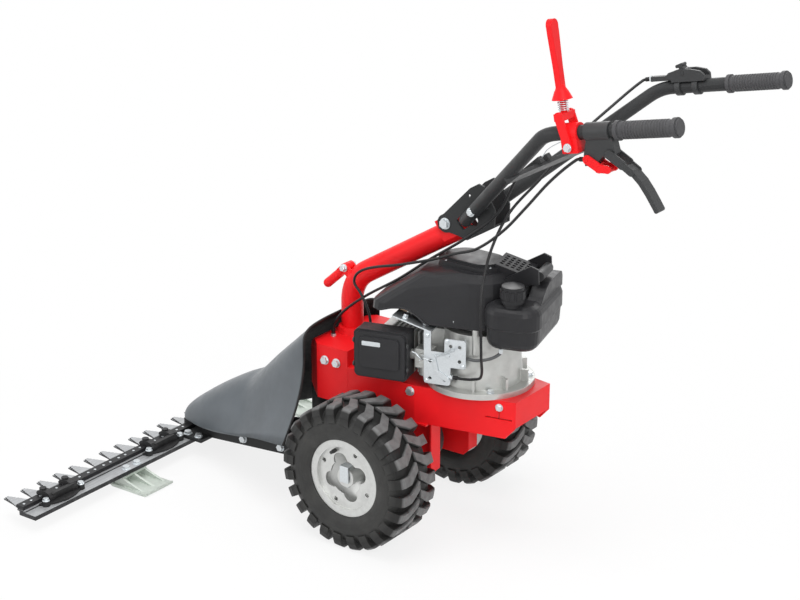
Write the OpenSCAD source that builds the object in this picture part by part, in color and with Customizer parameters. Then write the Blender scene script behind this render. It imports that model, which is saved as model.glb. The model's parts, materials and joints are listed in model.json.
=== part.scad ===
/* [Reach] */
// Distance from the axle back to the ends of the grips
grip_reach = 742; // [720:1:760]
// Distance from the axle forward to the blade tips
blade_reach = 712; // [700:1:730]

/* [Wheels] */
// Outside radius of the tyres
wheel_r = 165; // [160:1:172]
// Width of a tyre
tyre_w = 130; // [120:1:136]
// Distance between the middles of the two tyres
track = 412; // [404:1:430]
// Radius of the rim's flanges
rim_r = 88; // [82:1:94]
// Distance between the rim's flanges
rim_w = 100; // [90:1:104]
// Thickness of the rim's steel
rim_sheet = 4; // [3:0.5:5]
// Thickness of the tyre's wall
tyre_wall = 8; // [6:1:10]
// Lugs round each half of the tread
lug_count = 24; // [20:2:26]
// Height of the lugs
lug_h = 10; // [8:1:13]
// Width of a lug
lug_w = 24; // [20:1:26]
// Diameter of the axle
axle_d = 25; // [22:1:30]

/* [Engine plate] */
// Height of the engine plate's upper face above the axle
frame_rise = 185; // [180:1:195]
// Height of the side skirts
frame_depth = 85; // [80:1:90]
// Sheet thickness of the engine plate
frame_sheet = 4; // [3:0.5:5]
// Distance from the axle back to the rear skirt
frame_rear = 310; // [300:1:330]
// Half width at the rear skirt
rear_half = 68; // [60:1:75]
// Half width beside the engine and forward of it
side_half = 112; // [106:1:116]
// Distance from the axle to the joint with the front case
case_rear = 100; // [96:1:106]

/* [Front case] */
// Height of the front case's flat top above the engine plate
case_rise = 37; // [30:1:42]
// Distance from the axle to the nose of the front case
case_front = 250; // [246:1:254]
// Wall of the front case
case_wall = 6; // [5:0.5:8]
// Distance from the axle to the blade spindle
spindle_x = 195; // [190:1:198]

/* [Axle gearbox] */
// Half width of the gearbox cavity
gear_half = 26; // [22:1:28]
// Wall of the gearbox
gear_wall = 8; // [7:1:10]
// Outside radius of the worm wheel
worm_wheel_r = 42; // [38:1:44]
// Teeth of the worm wheel
worm_teeth = 32; // [28:2:36]
// Outside radius of the worm
worm_r = 11.6; // [10:0.2:12.4]
// Distance of the bracket's side plates from the middle plane, to their outer faces
bracket_half = 60; // [58:1:64]

/* [Belt drive] */
// Diameter of the engine's shaft
crank_d = 25; // [22:1:26]
// Outside radius of the engine's double pulley
drive_r = 34; // [30:1:36]
// Outside radius of the wheel drive pulley
worm_pulley_r = 42; // [36:1:43]
// Outside radius of the blade pulley
blade_pulley_r = 44; // [38:1:45]
// Depth of the wheel drive belt's middle under the engine plate
drive_belt_drop = 50; // [49:0.5:52]
// Depth of the blade belt's middle under the engine plate
blade_belt_drop = 25; // [23:0.5:27]
// Width of a belt at its back
belt_w = 12; // [10:0.5:13]
// Thickness of a belt
belt_t = 8; // [7:0.5:9]

/* [Cutter bar] */
// Length of the cutter bar
bar_len = 1204; // [1180:2:1220]
// Depth of the bar's plate from front to back
bar_w = 50; // [46:1:54]
// Thickness of the bar's plate
bar_t = 10; // [8:0.5:11]
// Height of the underside of the bar
bar_z = 30; // [28:1:33]
// Spacing of the blade sections
pitch = 50; // [49:0.2:50.6]
// Thickness of a blade section
section_t = 3; // [2:0.2:3.6]
// Depth of the serrations on a section's edges
serration = 1.2; // [0.6:0.1:1.6]
// Height of the knife's back strip
back_t = 6; // [5:0.5:7]
// Width of the knife's back strip
back_w = 22; // [18:1:23]
// Distance of the inner knife clamps from the middle plane
clamp_inner_y = 160; // [150:2:180]
// Distance of the outer knife clamps from the ends of the bar
clamp_end = 108; // [90:2:130]
// Distance of the skids from the middle plane
skid_y = 284; // [270:2:310]
// Width of a skid's foot
skid_w = 90; // [80:1:100]

/* [Knife drive] */
// Distance from the axle to the rocker shaft
rock_x = 265; // [262:1:270]
// Diameter of the rocker shaft
rock_d = 24; // [20:1:26]
// Swing of the rocker each way, in degrees
rock_swing = 4; // [3:0.1:4.2]
// Radius of the pin that drives the knife
drive_pin_r = 8; // [6:0.5:9]

/* [Hood] */
// Wall of the hood
hood_wall = 3; // [2:0.5:4]

/* [Column] */
// Distance from the axle to the upright of the column
column_x = 170; // [164:1:172]
// Outside diameter of the column
column_d = 50; // [45:1:52]
// Wall of the column
column_wall = 4; // [3:0.5:6]
// Bend radius of the column
column_bend = 90; // [80:1:100]
// Slope of the upper column above level, in degrees
column_slope = 31; // [30:0.5:32]
// Height above the front case at which the upright and the slope would meet
knee_rise = 124; // [118:1:130]

/* [Handlebar] */
// Outside diameter of the handlebar tubes
handle_d = 28; // [25:1:30]
// Wall of the handlebar tubes
handle_wall = 2.5; // [2:0.5:4]
// Half distance between the grips
grip_half = 225; // [215:1:235]
// Rise of the grips from the bends to their ends
grip_lift = 55; // [45:1:65]
// Length of a grip
grip_len = 128; // [115:1:132]
// Diameter of a grip
grip_d = 34; // [32:1:38]
// Distance from the bends back to the grips' ends
grip_run = 282; // [275:1:290]
// Rise of the tubes from their lower ends to the bends
tube_rise = 252; // [245:1:260]
// Sheet of the handlebar bracket
bracket_sheet = 4; // [3:0.5:5]
// Bend radius of the handlebar tubes
handle_bend = 80; // [70:1:90]

/* [Engine] */
// Distance from the axle back to the engine's shaft
engine_reach = 176; // [172:1:180]
// Turn of the engine on its plate, in degrees
engine_yaw = 15; // [12:0.5:18]
// Radius of the crankcase's flange
flange_r = 117; // [112:1:120]
// Height of the crankcase
crankcase_h = 130; // [126:1:132]
// Radius of the round part of the shroud
shroud_r = 90; // [86:1:92]
// Wall of the shroud and the tank
cover_wall = 3; // [2:0.5:4]
// Radius of the fuel cap
cap_r = 27; // [24:1:29]

/* [Levers] */
// Length of the blade lever above its neck
blade_lever_len = 150; // [130:1:160]
// Wire of the blade lever's spring
spring_wire = 2.2; // [1.8:0.1:2.6]
// Outside diameter of the control cables
cable_d = 6; // [5:0.5:6.5]

/* [Clearances] */
// Radial clearance of a shaft that turns in its bearing
run_gap = 0.05; // [0.02:0.01:0.09]
// Gap between pieces that slide past each other
slide_gap = 0.4; // [0.3:0.05:0.6]

/* [Hidden] */
$fn = 48;

// The part's origin is on the ground, under the middle of its length
axle_x = (grip_reach - blade_reach) / 2;
axle_r = axle_d / 2;
frame_top = wheel_r + frame_rise;
case_top = frame_top + case_rise;
drive_belt_z = frame_top - drive_belt_drop;
blade_belt_z = frame_top - blade_belt_drop;
column_knee = case_top + knee_rise;
knee_reach = grip_reach - grip_run;
wheel_y = track / 2;
seat_r = rim_r - 12;
tread_r = wheel_r - lug_h;
frame_low = frame_top - frame_depth;
handle_r = handle_d / 2;
column_r = column_d / 2;
crank_r = crank_d / 2;
cable_r = cable_d / 2;
worm_x = worm_wheel_r + worm_r + slide_gap;
rock_r = rock_d / 2;

// The stack of the cutter bar, from the plate up
bar_top = bar_z + bar_t;
bar_front = blade_reach - 70;
bar_rear = bar_front - bar_w;
comb_top = bar_top + section_t;
section_z = comb_top + slide_gap;
back_z = section_z + section_t;
back_top = back_z + back_t;
back_rear = bar_front - 12;
pin_x = back_rear + back_w / 2;
rocker_z = back_top + 20;
hood_rear = case_front - 50;
hood_front = bar_front - 2;
section_count = 2 * round(bar_len / pitch / 2);
tooth_pitch = bar_len / section_count;
clamp_outer_y = bar_len / 2 - clamp_end;

module at_axle() {
    translate([axle_x, 0, 0]) children();
}

module both_sides() {
    children();
    mirror([0, 1, 0]) children();
}

// A bar along Y between two places
module y_bar(r, from, to) {
    translate([0, from, 0]) rotate([-90, 0, 0]) cylinder(r = r, h = to - from);
}

// A plate whose outline lies in the XZ plane, between two Y places
module side_plate(from, to) {
    translate([0, to, 0]) rotate([90, 0, 0]) linear_extrude(to - from) children();
}

// A rectangle with round corners
module round_rect(low, high, r) {
    translate([low[0] + r, low[1]]) square([high[0] - low[0] - 2 * r, high[1] - low[1]]);
    translate([low[0], low[1] + r]) square([high[0] - low[0], high[1] - low[1] - 2 * r]);
    for (x = [low[0] + r, high[0] - r])
        for (y = [low[1] + r, high[1] - r])
            translate([x, y]) circle(r);
}

// How much slimmer a link's shank is than its round eyes, on each side
eye_step = 0.15;

// A flat bar with round ends between two points of a plane
module link_2d(a, b, r) {
    d = b - a;
    shank = r - eye_step;
    translate(a) circle(r);
    translate(b) circle(r);
    translate(a) rotate(atan2(d[1], d[0])) translate([0, -shank]) square([norm(d), 2 * shank]);
}

// A hexagon bolt standing on the origin, with its shank down
module bolt(r, shank) {
    cylinder(r = r * 2.1, h = r * 0.3);
    cylinder(r = r * 1.75, h = r * 1.5, $fn = 6);
    translate([0, 0, -shank]) cylinder(r = r, h = shank);
}

function unit(v) = v / norm(v);

// A straight rod from one point to another
module rod(a, b, r) {
    d = b - a;
    translate(a) rotate([0, acos(d[2] / norm(d)), atan2(d[1], d[0])]) cylinder(r = r, h = norm(d));
}

// How far straight rods run into a bend, and how much fuller the bend is
lap = 1;
swell = 0.05;

// A rod from a through a rounded bend at b to c
module bent_rod(a, b, c, bend, r) {
    u = unit(b - a);
    v = unit(c - b);
    turn = acos(u * v);
    back = bend * tan(turn / 2);
    from = b - u * back;
    middle = b + unit(v - u) * bend / cos(turn / 2);
    x = unit(from - middle);
    z = cross(x, u);
    rod(a, from + u * lap, r);
    rod(b + v * (back - lap), c, r);
    multmatrix([[x[0], u[0], z[0], middle[0]],
                [x[1], u[1], z[1], middle[1]],
                [x[2], u[2], z[2], middle[2]],
                [0, 0, 0, 1]])
        rotate_extrude(angle = turn) translate([bend, 0]) circle(r + swell);
}

// A smooth route through hand-placed points
function glide(a, b, c, d, t) =
    let (reach = norm(c - b), leave = unit(c - a) * reach, arrive = unit(d - b) * reach)
    b + leave * t + (3 * (c - b) - 2 * leave - arrive) * t * t + (leave + arrive - 2 * (c - b)) * t * t * t;
function route(p, steps) = [
    for (i = [0 : len(p) - 2])
        for (k = [0 : steps - 1])
            glide(p[max(i - 1, 0)], p[i], p[i + 1], p[min(i + 2, len(p) - 1)], k / steps),
    p[len(p) - 1]];
function heading(q, i) = unit(q[min(i + 1, len(q) - 1)] - q[max(i - 1, 0)]);

// A round tube swept along a list of points
module swept_tube(q, r, sides, lean) {
    n = len(q);
    points = [for (i = [0 : n - 1])
        let (t = heading(q, i), a = unit(cross(t, lean)), b = cross(t, a))
        for (k = [0 : sides - 1])
            q[i] + r * (a * cos(360 * k / sides) + b * sin(360 * k / sides))];
    walls = [for (i = [0 : n - 2])
        for (k = [0 : sides - 1])
            let (j = (k + 1) % sides, low = i * sides, high = low + sides)
            for (f = [[low + k, high + j, low + j], [low + k, high + k, high + j]]) f];
    last = (n - 1) * sides;
    caps = [for (k = [1 : sides - 2]) for (f = [[0, k, k + 1], [last, last + k + 1, last + k]]) f];
    polyhedron(points, concat(walls, caps));
}

// A solid through outlines of equal point counts, each a flat loop, from the lowest to the highest
module loft(loops) {
    n = len(loops[0]);
    last = (len(loops) - 1) * n;
    walls = [for (i = [0 : len(loops) - 2])
        for (k = [0 : n - 1])
            let (j = (k + 1) % n, low = i * n, high = low + n)
            for (f = [[low + k, high + j, low + j], [low + k, high + k, high + j]]) f];
    caps = [for (k = [1 : n - 2]) for (f = [[0, k, k + 1], [last, last + k + 1, last + k]]) f];
    polyhedron([for (loop = loops) for (q = loop) q], concat(walls, caps));
}

// A rectangle with round corners as a loop of points at one height
function soft_loop(low, high, r, z) =
    let (corners = [[high[0] - r, high[1] - r], [low[0] + r, high[1] - r], [low[0] + r, low[1] + r],
                    [high[0] - r, low[1] + r]])
    [for (c = [0 : 3]) for (a = [0 : 15 : 90])
        [corners[c][0] + r * cos(90 * c + a), corners[c][1] + r * sin(90 * c + a), z]];

// Wheels

module tyre_section(half, low, high, foot) {
    middle = (low + high) / 2;
    reach = (high - low) / 2;
    polygon([for (a = [-90 : 10 : 90]) if (abs(sin(a)) < 0.999)
                [middle + reach * sin(a), half * pow(cos(a), 0.45)],
             for (a = [90 : -10 : -90]) if (abs(sin(a)) < 0.999)
                [middle + reach * sin(a), -half * pow(cos(a), 0.45)]]);
    translate([seat_r, -foot]) square([middle - seat_r, 2 * foot]);
}

// One lug: straight across the shoulder, then leaning to the middle of the tread
lug_lean = 22;
lug_root = 30;
module lug() {
    reach = tyre_w / 2 + 3;
    side = lug_w * 0.9 - lug_lean;
    translate([0, 0, tread_r - lug_root]) linear_extrude(lug_root + 2 * lug_h)
        polygon([[0, 1.5], [lug_w * 0.8, 1.5], [side, reach * 0.5], [side, reach], [-lug_lean, reach],
                 [-lug_lean, reach * 0.45]]);
}

// Half of the ring that trims the lugs: flat over the tread, sloped down the shoulder
module lug_ring() {
    half = tyre_w / 2;
    polygon([[tread_r - 5, 0], [wheel_r, 0], [wheel_r, half - 12], [wheel_r - 5, half - 5],
        [tread_r - 8, half],
             [tread_r - 26, half + 1], [tread_r - 21, half - 7], [tread_r - 5, half - 21]]);
}

module tyre() {
    rotate([90, 0, 0]) rotate_extrude() difference() {
        tyre_section(tyre_w / 2, seat_r, tread_r, rim_w / 2 - slide_gap);
        tyre_section(tyre_w / 2 - tyre_wall, seat_r + tyre_wall, tread_r - tyre_wall, rim_w / 2 - tyre_wall);
        translate([seat_r - 1, -rim_w / 2 + tyre_wall]) square([tyre_wall + 2, rim_w - 2 * tyre_wall]);
        for (y = [rim_w / 2 - slide_gap, -tyre_w / 2])
            translate([seat_r - 1, y])
                square([rim_r - seat_r + 1 + slide_gap, (tyre_w - rim_w) / 2 + slide_gap]);
    }
    intersection() {
        for (i = [0 : lug_count - 1])
            rotate([0, 360 * i / lug_count, 0]) {
                lug();
                rotate([0, 180 / lug_count, 0]) mirror([0, 1, 0]) lug();
            }
        rotate([90, 0, 0]) rotate_extrude() {
            lug_ring();
            mirror([0, 1]) lug_ring();
        }
    }
}

module tyres() color("#2b2b2d") at_axle() translate([0, 0, wheel_r]) both_sides()
    translate([0, wheel_y, 0]) tyre();

// The rim's outer face shows a four-lobed window with the dished hub behind it
hub_r = axle_r + 9;
hub_out = 48;
disc_y = 47;
pin_y = 38;
pin_drop = hub_out - pin_y + 2;
module rim() {
    rotate([-90, 0, 0]) rotate_extrude() {
        translate([seat_r - rim_sheet, -rim_w / 2]) square([rim_sheet, rim_w]);
        for (y = [-rim_w / 2 - rim_sheet, rim_w / 2])
            translate([seat_r - rim_sheet, y]) square([rim_r - seat_r + rim_sheet, rim_sheet]);
        translate([axle_r, -15]) square([hub_r - axle_r, hub_out + 15]);
        polygon([[hub_r - 1, -8], [hub_r - 1, -8 - rim_sheet], [seat_r - 1, disc_y - rim_sheet - 19],
                 [seat_r - 1, disc_y - 19]]);
    }
    difference() {
        rotate([-90, 0, 0]) translate([0, 0, disc_y - rim_sheet]) cylinder(r = seat_r - 1, h = rim_sheet);
        rotate([-90, 0, 0]) translate([0, 0, disc_y - rim_sheet - 1]) {
            cylinder(r = seat_r * 0.52, h = rim_sheet + 2);
            for (a = [20 : 90 : 290]) rotate(a) {
                translate([seat_r * 0.5, 0, 0]) cylinder(r = seat_r * 0.24, h = rim_sheet + 2);
                rotate(45) translate([seat_r * 0.83, 0, 0]) cylinder(r = 5, h = rim_sheet + 2);
            }
        }
    }
}

module rims() color("#c9cbc9") at_axle() translate([0, 0, wheel_r]) both_sides() difference() {
    translate([0, wheel_y, 0]) rim();
    translate([0, wheel_y + pin_y, 0]) cylinder(r = 4 + run_gap, h = 3 * hub_r, center = true);
}

// Locking pins that tie each hub to the axle, with a bent finger plate
module wheel_pins() color("#d5d6d4") at_axle() translate([0, 0, wheel_r]) both_sides()
    translate([0, wheel_y + pin_y, 0]) {
        translate([0, 0, -hub_r - 4]) cylinder(r = 4, h = 2 * hub_r + 8);
        translate([-11, -5, hub_r + 3]) cube([22, pin_drop + 8, 3]);
        translate([-11, pin_drop, -10]) cube([22, 3, hub_r + 14]);
    }

module axle_shaft() color("#8d8f90") at_axle() translate([0, 0, wheel_r]) difference() {
    y_bar(axle_r, -wheel_y - hub_out + 5, wheel_y + hub_out - 5);
    for (side = [-1, 1])
        translate([0, side * (wheel_y + pin_y), 0]) cylinder(r = 4 + run_gap, h = 3 * axle_r, center = true);
}

// Worm drive of the axle

worm_tooth_h = 3;
module worm_wheel() color("#b08d57") at_axle() translate([0, 0, wheel_r]) difference() {
    side_plate(-gear_half + 12, gear_half - 12) {
        circle(worm_wheel_r - worm_tooth_h);
        for (i = [0 : worm_teeth - 1]) rotate(360 * i / worm_teeth)
            polygon([[worm_wheel_r - worm_tooth_h - 1, -2.6], [worm_wheel_r, -1.3], [worm_wheel_r, 1.3],
                     [worm_wheel_r - worm_tooth_h - 1, 2.6]]);
    }
    y_bar(axle_r, -gear_half, gear_half);
}

gear_r = worm_wheel_r + 8 + gear_wall;
tower_r = 32;
bearing_t = gear_wall;
axle_bearing_r = axle_r + 10;
worm_shaft_r = 8;
worm_bearing_r = 16;
worm_low = wheel_r - gear_r + 4;
module axle_gearbox() color("#4a4c4e") at_axle() difference() {
    union() {
        translate([0, 0, wheel_r]) {
            y_bar(gear_r, -gear_half - gear_wall, gear_half);
            y_bar(axle_bearing_r + 5, -bracket_half + bracket_t, 0);
        }
        translate([worm_x, 0, worm_low]) cylinder(r = tower_r, h = frame_low - frame_sheet - worm_low);
    }
    translate([0, 0, wheel_r]) {
        y_bar(gear_r - gear_wall, -gear_half, gear_half + 1);
        y_bar(axle_bearing_r, -gear_half - bearing_t, 0);
        y_bar(axle_r + 1, -bracket_half, 0);
    }
    translate([worm_x - gear_r, gear_half, worm_low - 1]) cube([2 * gear_r, tower_r, frame_top]);
    translate([worm_x, 0, worm_low + 4]) cylinder(r = worm_bearing_r, h = frame_low);
}

module gearbox_cover() color("#4a4c4e") at_axle() difference() {
    union() {
        translate([0, 0, wheel_r]) {
            y_bar(gear_r, gear_half, gear_half + gear_wall);
            y_bar(axle_bearing_r + 5, gear_half, bracket_half - bracket_t);
        }
        intersection() {
            translate([worm_x, 0, worm_low]) cylinder(r = tower_r, h = frame_low - frame_sheet - worm_low);
            translate([worm_x - gear_r, gear_half, worm_low]) cube([2 * gear_r, tower_r, frame_top]);
        }
    }
    translate([0, 0, wheel_r]) {
        y_bar(axle_bearing_r, gear_half - 1, gear_half + bearing_t);
        y_bar(axle_r + 1, 0, bracket_half);
    }
}

module ring(outer, inner, h) {
    difference() {
        cylinder(r = outer, h = h);
        translate([0, 0, -1]) cylinder(r = inner, h = h + 2);
    }
}

spindle_r = 10;
spindle_bearing_r = 21;
spindle_low = frame_low - 6;
module shaft_bearings() color("#b9bcbf") at_axle() {
    for (y = [-gear_half - bearing_t, gear_half])
        translate([0, y, wheel_r]) rotate([-90, 0, 0]) ring(axle_bearing_r, axle_r + run_gap, bearing_t);
    for (z = [worm_low + 4, frame_low - frame_sheet - bearing_t - 2])
        translate([worm_x, 0, z]) ring(worm_bearing_r, worm_shaft_r + run_gap, bearing_t);
    for (z = [spindle_low, case_top - case_wall - bearing_t])
        translate([spindle_x, 0, z]) ring(spindle_bearing_r, spindle_r + run_gap, bearing_t);
}

worm_len = 60;
module worm_shaft() color("#8d8f90") at_axle() translate([worm_x, 0, 0]) {
    translate([0, 0, worm_low + 4]) cylinder(r = worm_shaft_r, h = drive_belt_z + 10 - worm_low - 4);
    translate([0, 0, wheel_r - worm_len / 2]) cylinder(r = worm_r, h = worm_len);
}

// How far a belt stands out of its groove and stays off its floor, and the lean of the flanks
belt_rise = 0.5;
belt_room = 1.5;
groove_lean = tan(18);

// Half the width of a pulley's groove at a depth under its rim
function groove_half(depth) = belt_w / 2 + 0.5 - depth * groove_lean;

// A pulley with V grooves at the given heights, standing along Z
module pulley(r, bore, low, high, grooves) {
    rotate_extrude() difference() {
        translate([bore, low]) square([r - bore, high - low]);
        for (z = grooves)
            polygon([[r + 1, z - groove_half(-1)], [r - belt_t, z - groove_half(belt_t)],
                     [r - belt_t, z + groove_half(belt_t)], [r + 1, z + groove_half(-1)]]);
    }
}

module worm_pulley() color("#5b5d5f") at_axle() translate([worm_x, 0, 0])
    pulley(worm_pulley_r, worm_shaft_r, drive_belt_z - 9, drive_belt_z + 9, [drive_belt_z]);

module blade_pulley() color("#5b5d5f") at_axle() translate([spindle_x, 0, 0])
    pulley(blade_pulley_r, spindle_r, blade_belt_z - 9, blade_belt_z + 9, [blade_belt_z]);

module drive_pulley() color("#5b5d5f") at_axle() translate([-engine_reach, 0, 0])
    pulley(drive_r, crank_r, drive_belt_z - 9, blade_belt_z + 9, [drive_belt_z, blade_belt_z]);

// The wedge section of a belt on a pulley of radius r, with room in the groove
module belt_section(r, fuller) {
    out = belt_rise + fuller;
    in = belt_t - belt_room + fuller;
    polygon([[r + out, -groove_half(-belt_rise) + slide_gap], [r + out, groove_half(-belt_rise) - slide_gap],
             [r - in, groove_half(in) - slide_gap], [r - in, -groove_half(in) + slide_gap]]);
}

// A belt round two pulleys of different radius: two arcs, and two straight runs on the tangents
module belt(z, driven_r, driven_x) {
    span = driven_x + engine_reach;
    lean = asin((drive_r - driven_r) / span);
    translate([-engine_reach, 0, z]) {
        rotate(90 - lean) rotate_extrude(angle = 180 + 2 * lean) belt_section(drive_r, swell);
        translate([span, 0, 0]) rotate(lean - 90)
            rotate_extrude(angle = 180 - 2 * lean) belt_section(driven_r, swell);
        both_sides() rotate(-lean) translate([-lap, 0, 0]) rotate([90, 0, 90])
            linear_extrude(span * cos(lean) + 2 * lap) belt_section(drive_r, 0);
    }
}

module drive_belts() color("#1f1f20") at_axle() {
    belt(drive_belt_z, worm_pulley_r, worm_x);
    belt(blade_belt_z, blade_pulley_r, spindle_x);
}

// Red sheet and cast frame

module chassis_frame() color("#d8232a") at_axle() difference() {
    translate([0, 0, frame_low]) linear_extrude(frame_depth) plate_outline(0);
    translate([0, 0, frame_low - 1]) linear_extrude(frame_depth - frame_sheet + 1) plate_outline(frame_sheet);
    translate([-engine_reach, 0, frame_top - frame_sheet - 1]) cylinder(r = 45, h = frame_sheet + 2);
    translate([-frame_rear - 1, -rear_half, frame_low - 1]) cube([frame_sheet + 2, 2 * rear_half, 28]);
    side_plate(-side_half, side_half)
        polygon([[-frame_rear - 1, frame_low - 1], [-frame_rear + 24, frame_low - 1],
                 [-frame_rear - 1, frame_low + 27]]);
    both_sides() {
        translate([-frame_rear + 8, rear_half - 12, frame_low + 42]) cube([60, 30, 3]);
        translate([-frame_rear + 36, rear_half - 12, frame_low + 42]) cube([3, 30, 20]);
    }
}

module plate_outline(inset) {
    front = case_rear + (inset > 0 ? 1 : 0);
    polygon([[-frame_rear + inset, -rear_half + inset], [-80, -side_half + inset],
        [front, -side_half + inset],
             [front, side_half - inset], [-80, side_half - inset], [-frame_rear + inset, rear_half - inset]]);
}

bracket_t = 4;
bracket_low = wheel_r - 35;
bracket_toe = wheel_r - 70;
module axle_bracket() color("#d8232a") at_axle() difference() {
    union() {
        translate([-110, -side_half, frame_low - frame_sheet])
            cube([110 + case_rear - 5, 2 * side_half, frame_sheet]);
        both_sides() {
            side_plate(bracket_half - bracket_t, bracket_half)
                polygon([[-110, frame_low - 1], [-110, bracket_low + 14], [-96, bracket_low],
                    [70, bracket_low],
                         [95, bracket_toe], [95, frame_low - 1]]);
            translate([-110, bracket_half - bracket_t, bracket_low + 14])
                cube([bracket_t, 34, frame_low - bracket_low - 15]);
        }
    }
    translate([0, 0, wheel_r]) y_bar(axle_r + 2, -track, track);
    translate([worm_x, 0, frame_low - 10]) cylinder(r = worm_shaft_r + 6, h = 20);
}

// The front case: a round-nosed box, tapered in plan, that carries the column and the blade spindle
nose_r = 55;
module case_shape(inset, low) {
    intersection() {
        side_plate(-side_half - 1, side_half + 1) {
            translate([case_rear + inset, low])
                square([case_front - nose_r - case_rear - inset, case_top - inset - low]);
            translate([case_rear + inset, low])
                square([case_front - case_rear - 2 * inset, case_top - nose_r - low]);
            translate([case_front - nose_r, case_top - nose_r]) circle(nose_r - inset);
        }
        translate([0, 0, low - 1]) linear_extrude(case_top)
            polygon([[case_rear, -side_half + inset], [case_front - 65, -side_half + inset],
                     [case_front, -50 + inset], [case_front, 50 - inset],
                     [case_front - 65, side_half - inset], [case_rear, side_half - inset]]);
    }
}

module front_case() color("#d8232a") at_axle() difference() {
    union() {
        difference() {
            case_shape(0, frame_low - 3);
            case_shape(case_wall, frame_low - 4);
        }
        translate([spindle_x, 0, case_top - case_wall - bearing_t])
            cylinder(r = spindle_bearing_r + 6, h = bearing_t + 1);
        intersection() {
            translate([case_rear, -side_half, spindle_low]) cube([case_front, 2 * side_half, bearing_t]);
            case_shape(0, spindle_low);
        }
        translate([column_x, 0, case_top - 1]) cylinder(r1 = column_r + 12, r2 = column_r + 6, h = 15);
    }
    translate([spindle_x, 0, spindle_low - 1]) cylinder(r = spindle_bearing_r, h = bearing_t + 1);
    translate([spindle_x, 0, case_top - case_wall - bearing_t - 1])
        cylinder(r = spindle_bearing_r, h = bearing_t + 1);
    translate([spindle_x, 0, spindle_low - 1]) cylinder(r = spindle_r + 2, h = bearing_t + 2);
    translate([column_x, 0, case_top]) cylinder(r = column_r, h = 20);
    translate([case_rear - 1, -66, blade_belt_z - 16]) cube([case_wall + 2, 132, 32]);
}

// The column: an upright tube, a swept bend and a slope back to the handlebar
column_foot = [column_x, 0, case_top];
column_corner = [column_x, 0, column_knee];
slope_dir = [-cos(column_slope), 0, sin(column_slope)];
slope_up = [sin(column_slope), 0, cos(column_slope)];
slope_len = 350;
column_end = column_corner + slope_len * slope_dir;
hinge = column_corner + (slope_len - 22) * slope_dir + 20 * slope_up;
ear_half = 25;
module column_shape(r) {
    bent_rod(column_foot, column_corner, column_end, column_bend, r);
}

// Moves to a point on the slope of the column, with X down the slope and Z square to it
module on_slope(point) {
    translate(point) rotate([0, column_slope, 0]) children();
}

lever_root = [column_x + 12, 0, column_knee + 26];
lever_reach = [56, 0, -50];
module column_tube() color("#d8232a") at_axle() difference() {
    union() {
        column_shape(column_r);
        on_slope(hinge) translate([-22, -ear_half, -34]) cube([50, 2 * ear_half, 48]);
        both_sides() side_plate(8 + slide_gap, 14)
            link_2d([lever_root[0], lever_root[2]], [lever_root[0] - 26, lever_root[2] - 24], 10);
    }
    difference() {
        column_shape(column_r - column_wall);
        translate([column_x - 60, -60, case_top - 60]) cube([120, 120, 60]);
    }
    on_slope(hinge) y_bar(6 + run_gap, -60, 60);
    translate([lever_root[0], 0, lever_root[2]]) y_bar(4 + run_gap, -60, 60);
}

module column_lever() color("#d8232a") at_axle() difference() {
    union() {
        side_plate(-8, 8) translate([lever_root[0], lever_root[2]])
            link_2d([0, 0], 0.3 * [lever_reach[0], lever_reach[2]], 10);
        rod(lever_root + 0.24 * lever_reach, lever_root + lever_reach, 10.5);
        translate(lever_root + lever_reach) sphere(r = 10.6);
    }
    translate(lever_root) y_bar(4 + run_gap, -9, 9);
}

// The black front beam between the axle bracket and the cutter bar

beam_half = bracket_half - bracket_t;
beam_t = 4;
beam_rear = 62;
beam_front = bar_rear - 4;
beam_rear_z = wheel_r - 87;
beam_rear_top = wheel_r - 15;
function beam_z(x) = beam_rear_z + (bar_top - beam_rear_z) * (x - beam_rear) / (beam_front - beam_rear);
floor_rear = beam_rear + 40;
floor_front = beam_front - 12;
floor_step = 1.5;
function floor_z(x) = beam_z(x) + floor_step;
rock_low = rocker_z;
rock_tube_low = rocker_z + 22;
rock_tube_high = frame_low - 46;
rock_top = frame_low - 16;
stay_x = hood_front - 152;
module front_beam() color("#262728") at_axle() difference() {
    union() {
        both_sides() side_plate(beam_half - beam_t, beam_half)
            polygon([[beam_rear, beam_z(beam_rear)], [beam_front, beam_z(beam_front)],
                [beam_front, bar_top + 22],
                     [rock_x + 60, beam_rear_top - 38], [rock_x - 20, beam_rear_top - 18],
                     [beam_rear, beam_rear_top]]);
        side_plate(-beam_half + 1, beam_half - 1)
            polygon([[floor_rear, floor_z(floor_rear)], [floor_front, floor_z(floor_front)],
                     [floor_front, floor_z(floor_front) + beam_t],
                         [floor_rear, floor_z(floor_rear) + beam_t]]);
        translate([beam_front - 30, -92, bar_top]) cube([comb_rear - 1 - beam_front + 30, 184, 8]);
        translate([rock_x - 26, -beam_half + 1, rock_tube_low + 4]) cube([52, 2 * beam_half - 2, 6]);
        translate([rock_x, 0, rock_tube_low]) cylinder(r = rock_r + 8, h = rock_tube_high - rock_tube_low);
        both_sides() translate([stay_x - 10, beam_half - beam_t, 60]) cube([20, beam_t, 80]);
        translate([stay_x - 10, -beam_half, 134]) cube([20, 2 * beam_half, 6]);
        translate([stay_x, 0, 138]) cylinder(r = 6, h = hood_ridge(stay_x + 6) - hood_wall - slide_gap - 138);
    }
    translate([rock_x, 0, rock_tube_low - 1]) cylinder(r = rock_r + run_gap, h = rock_tube_high);
}

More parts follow.
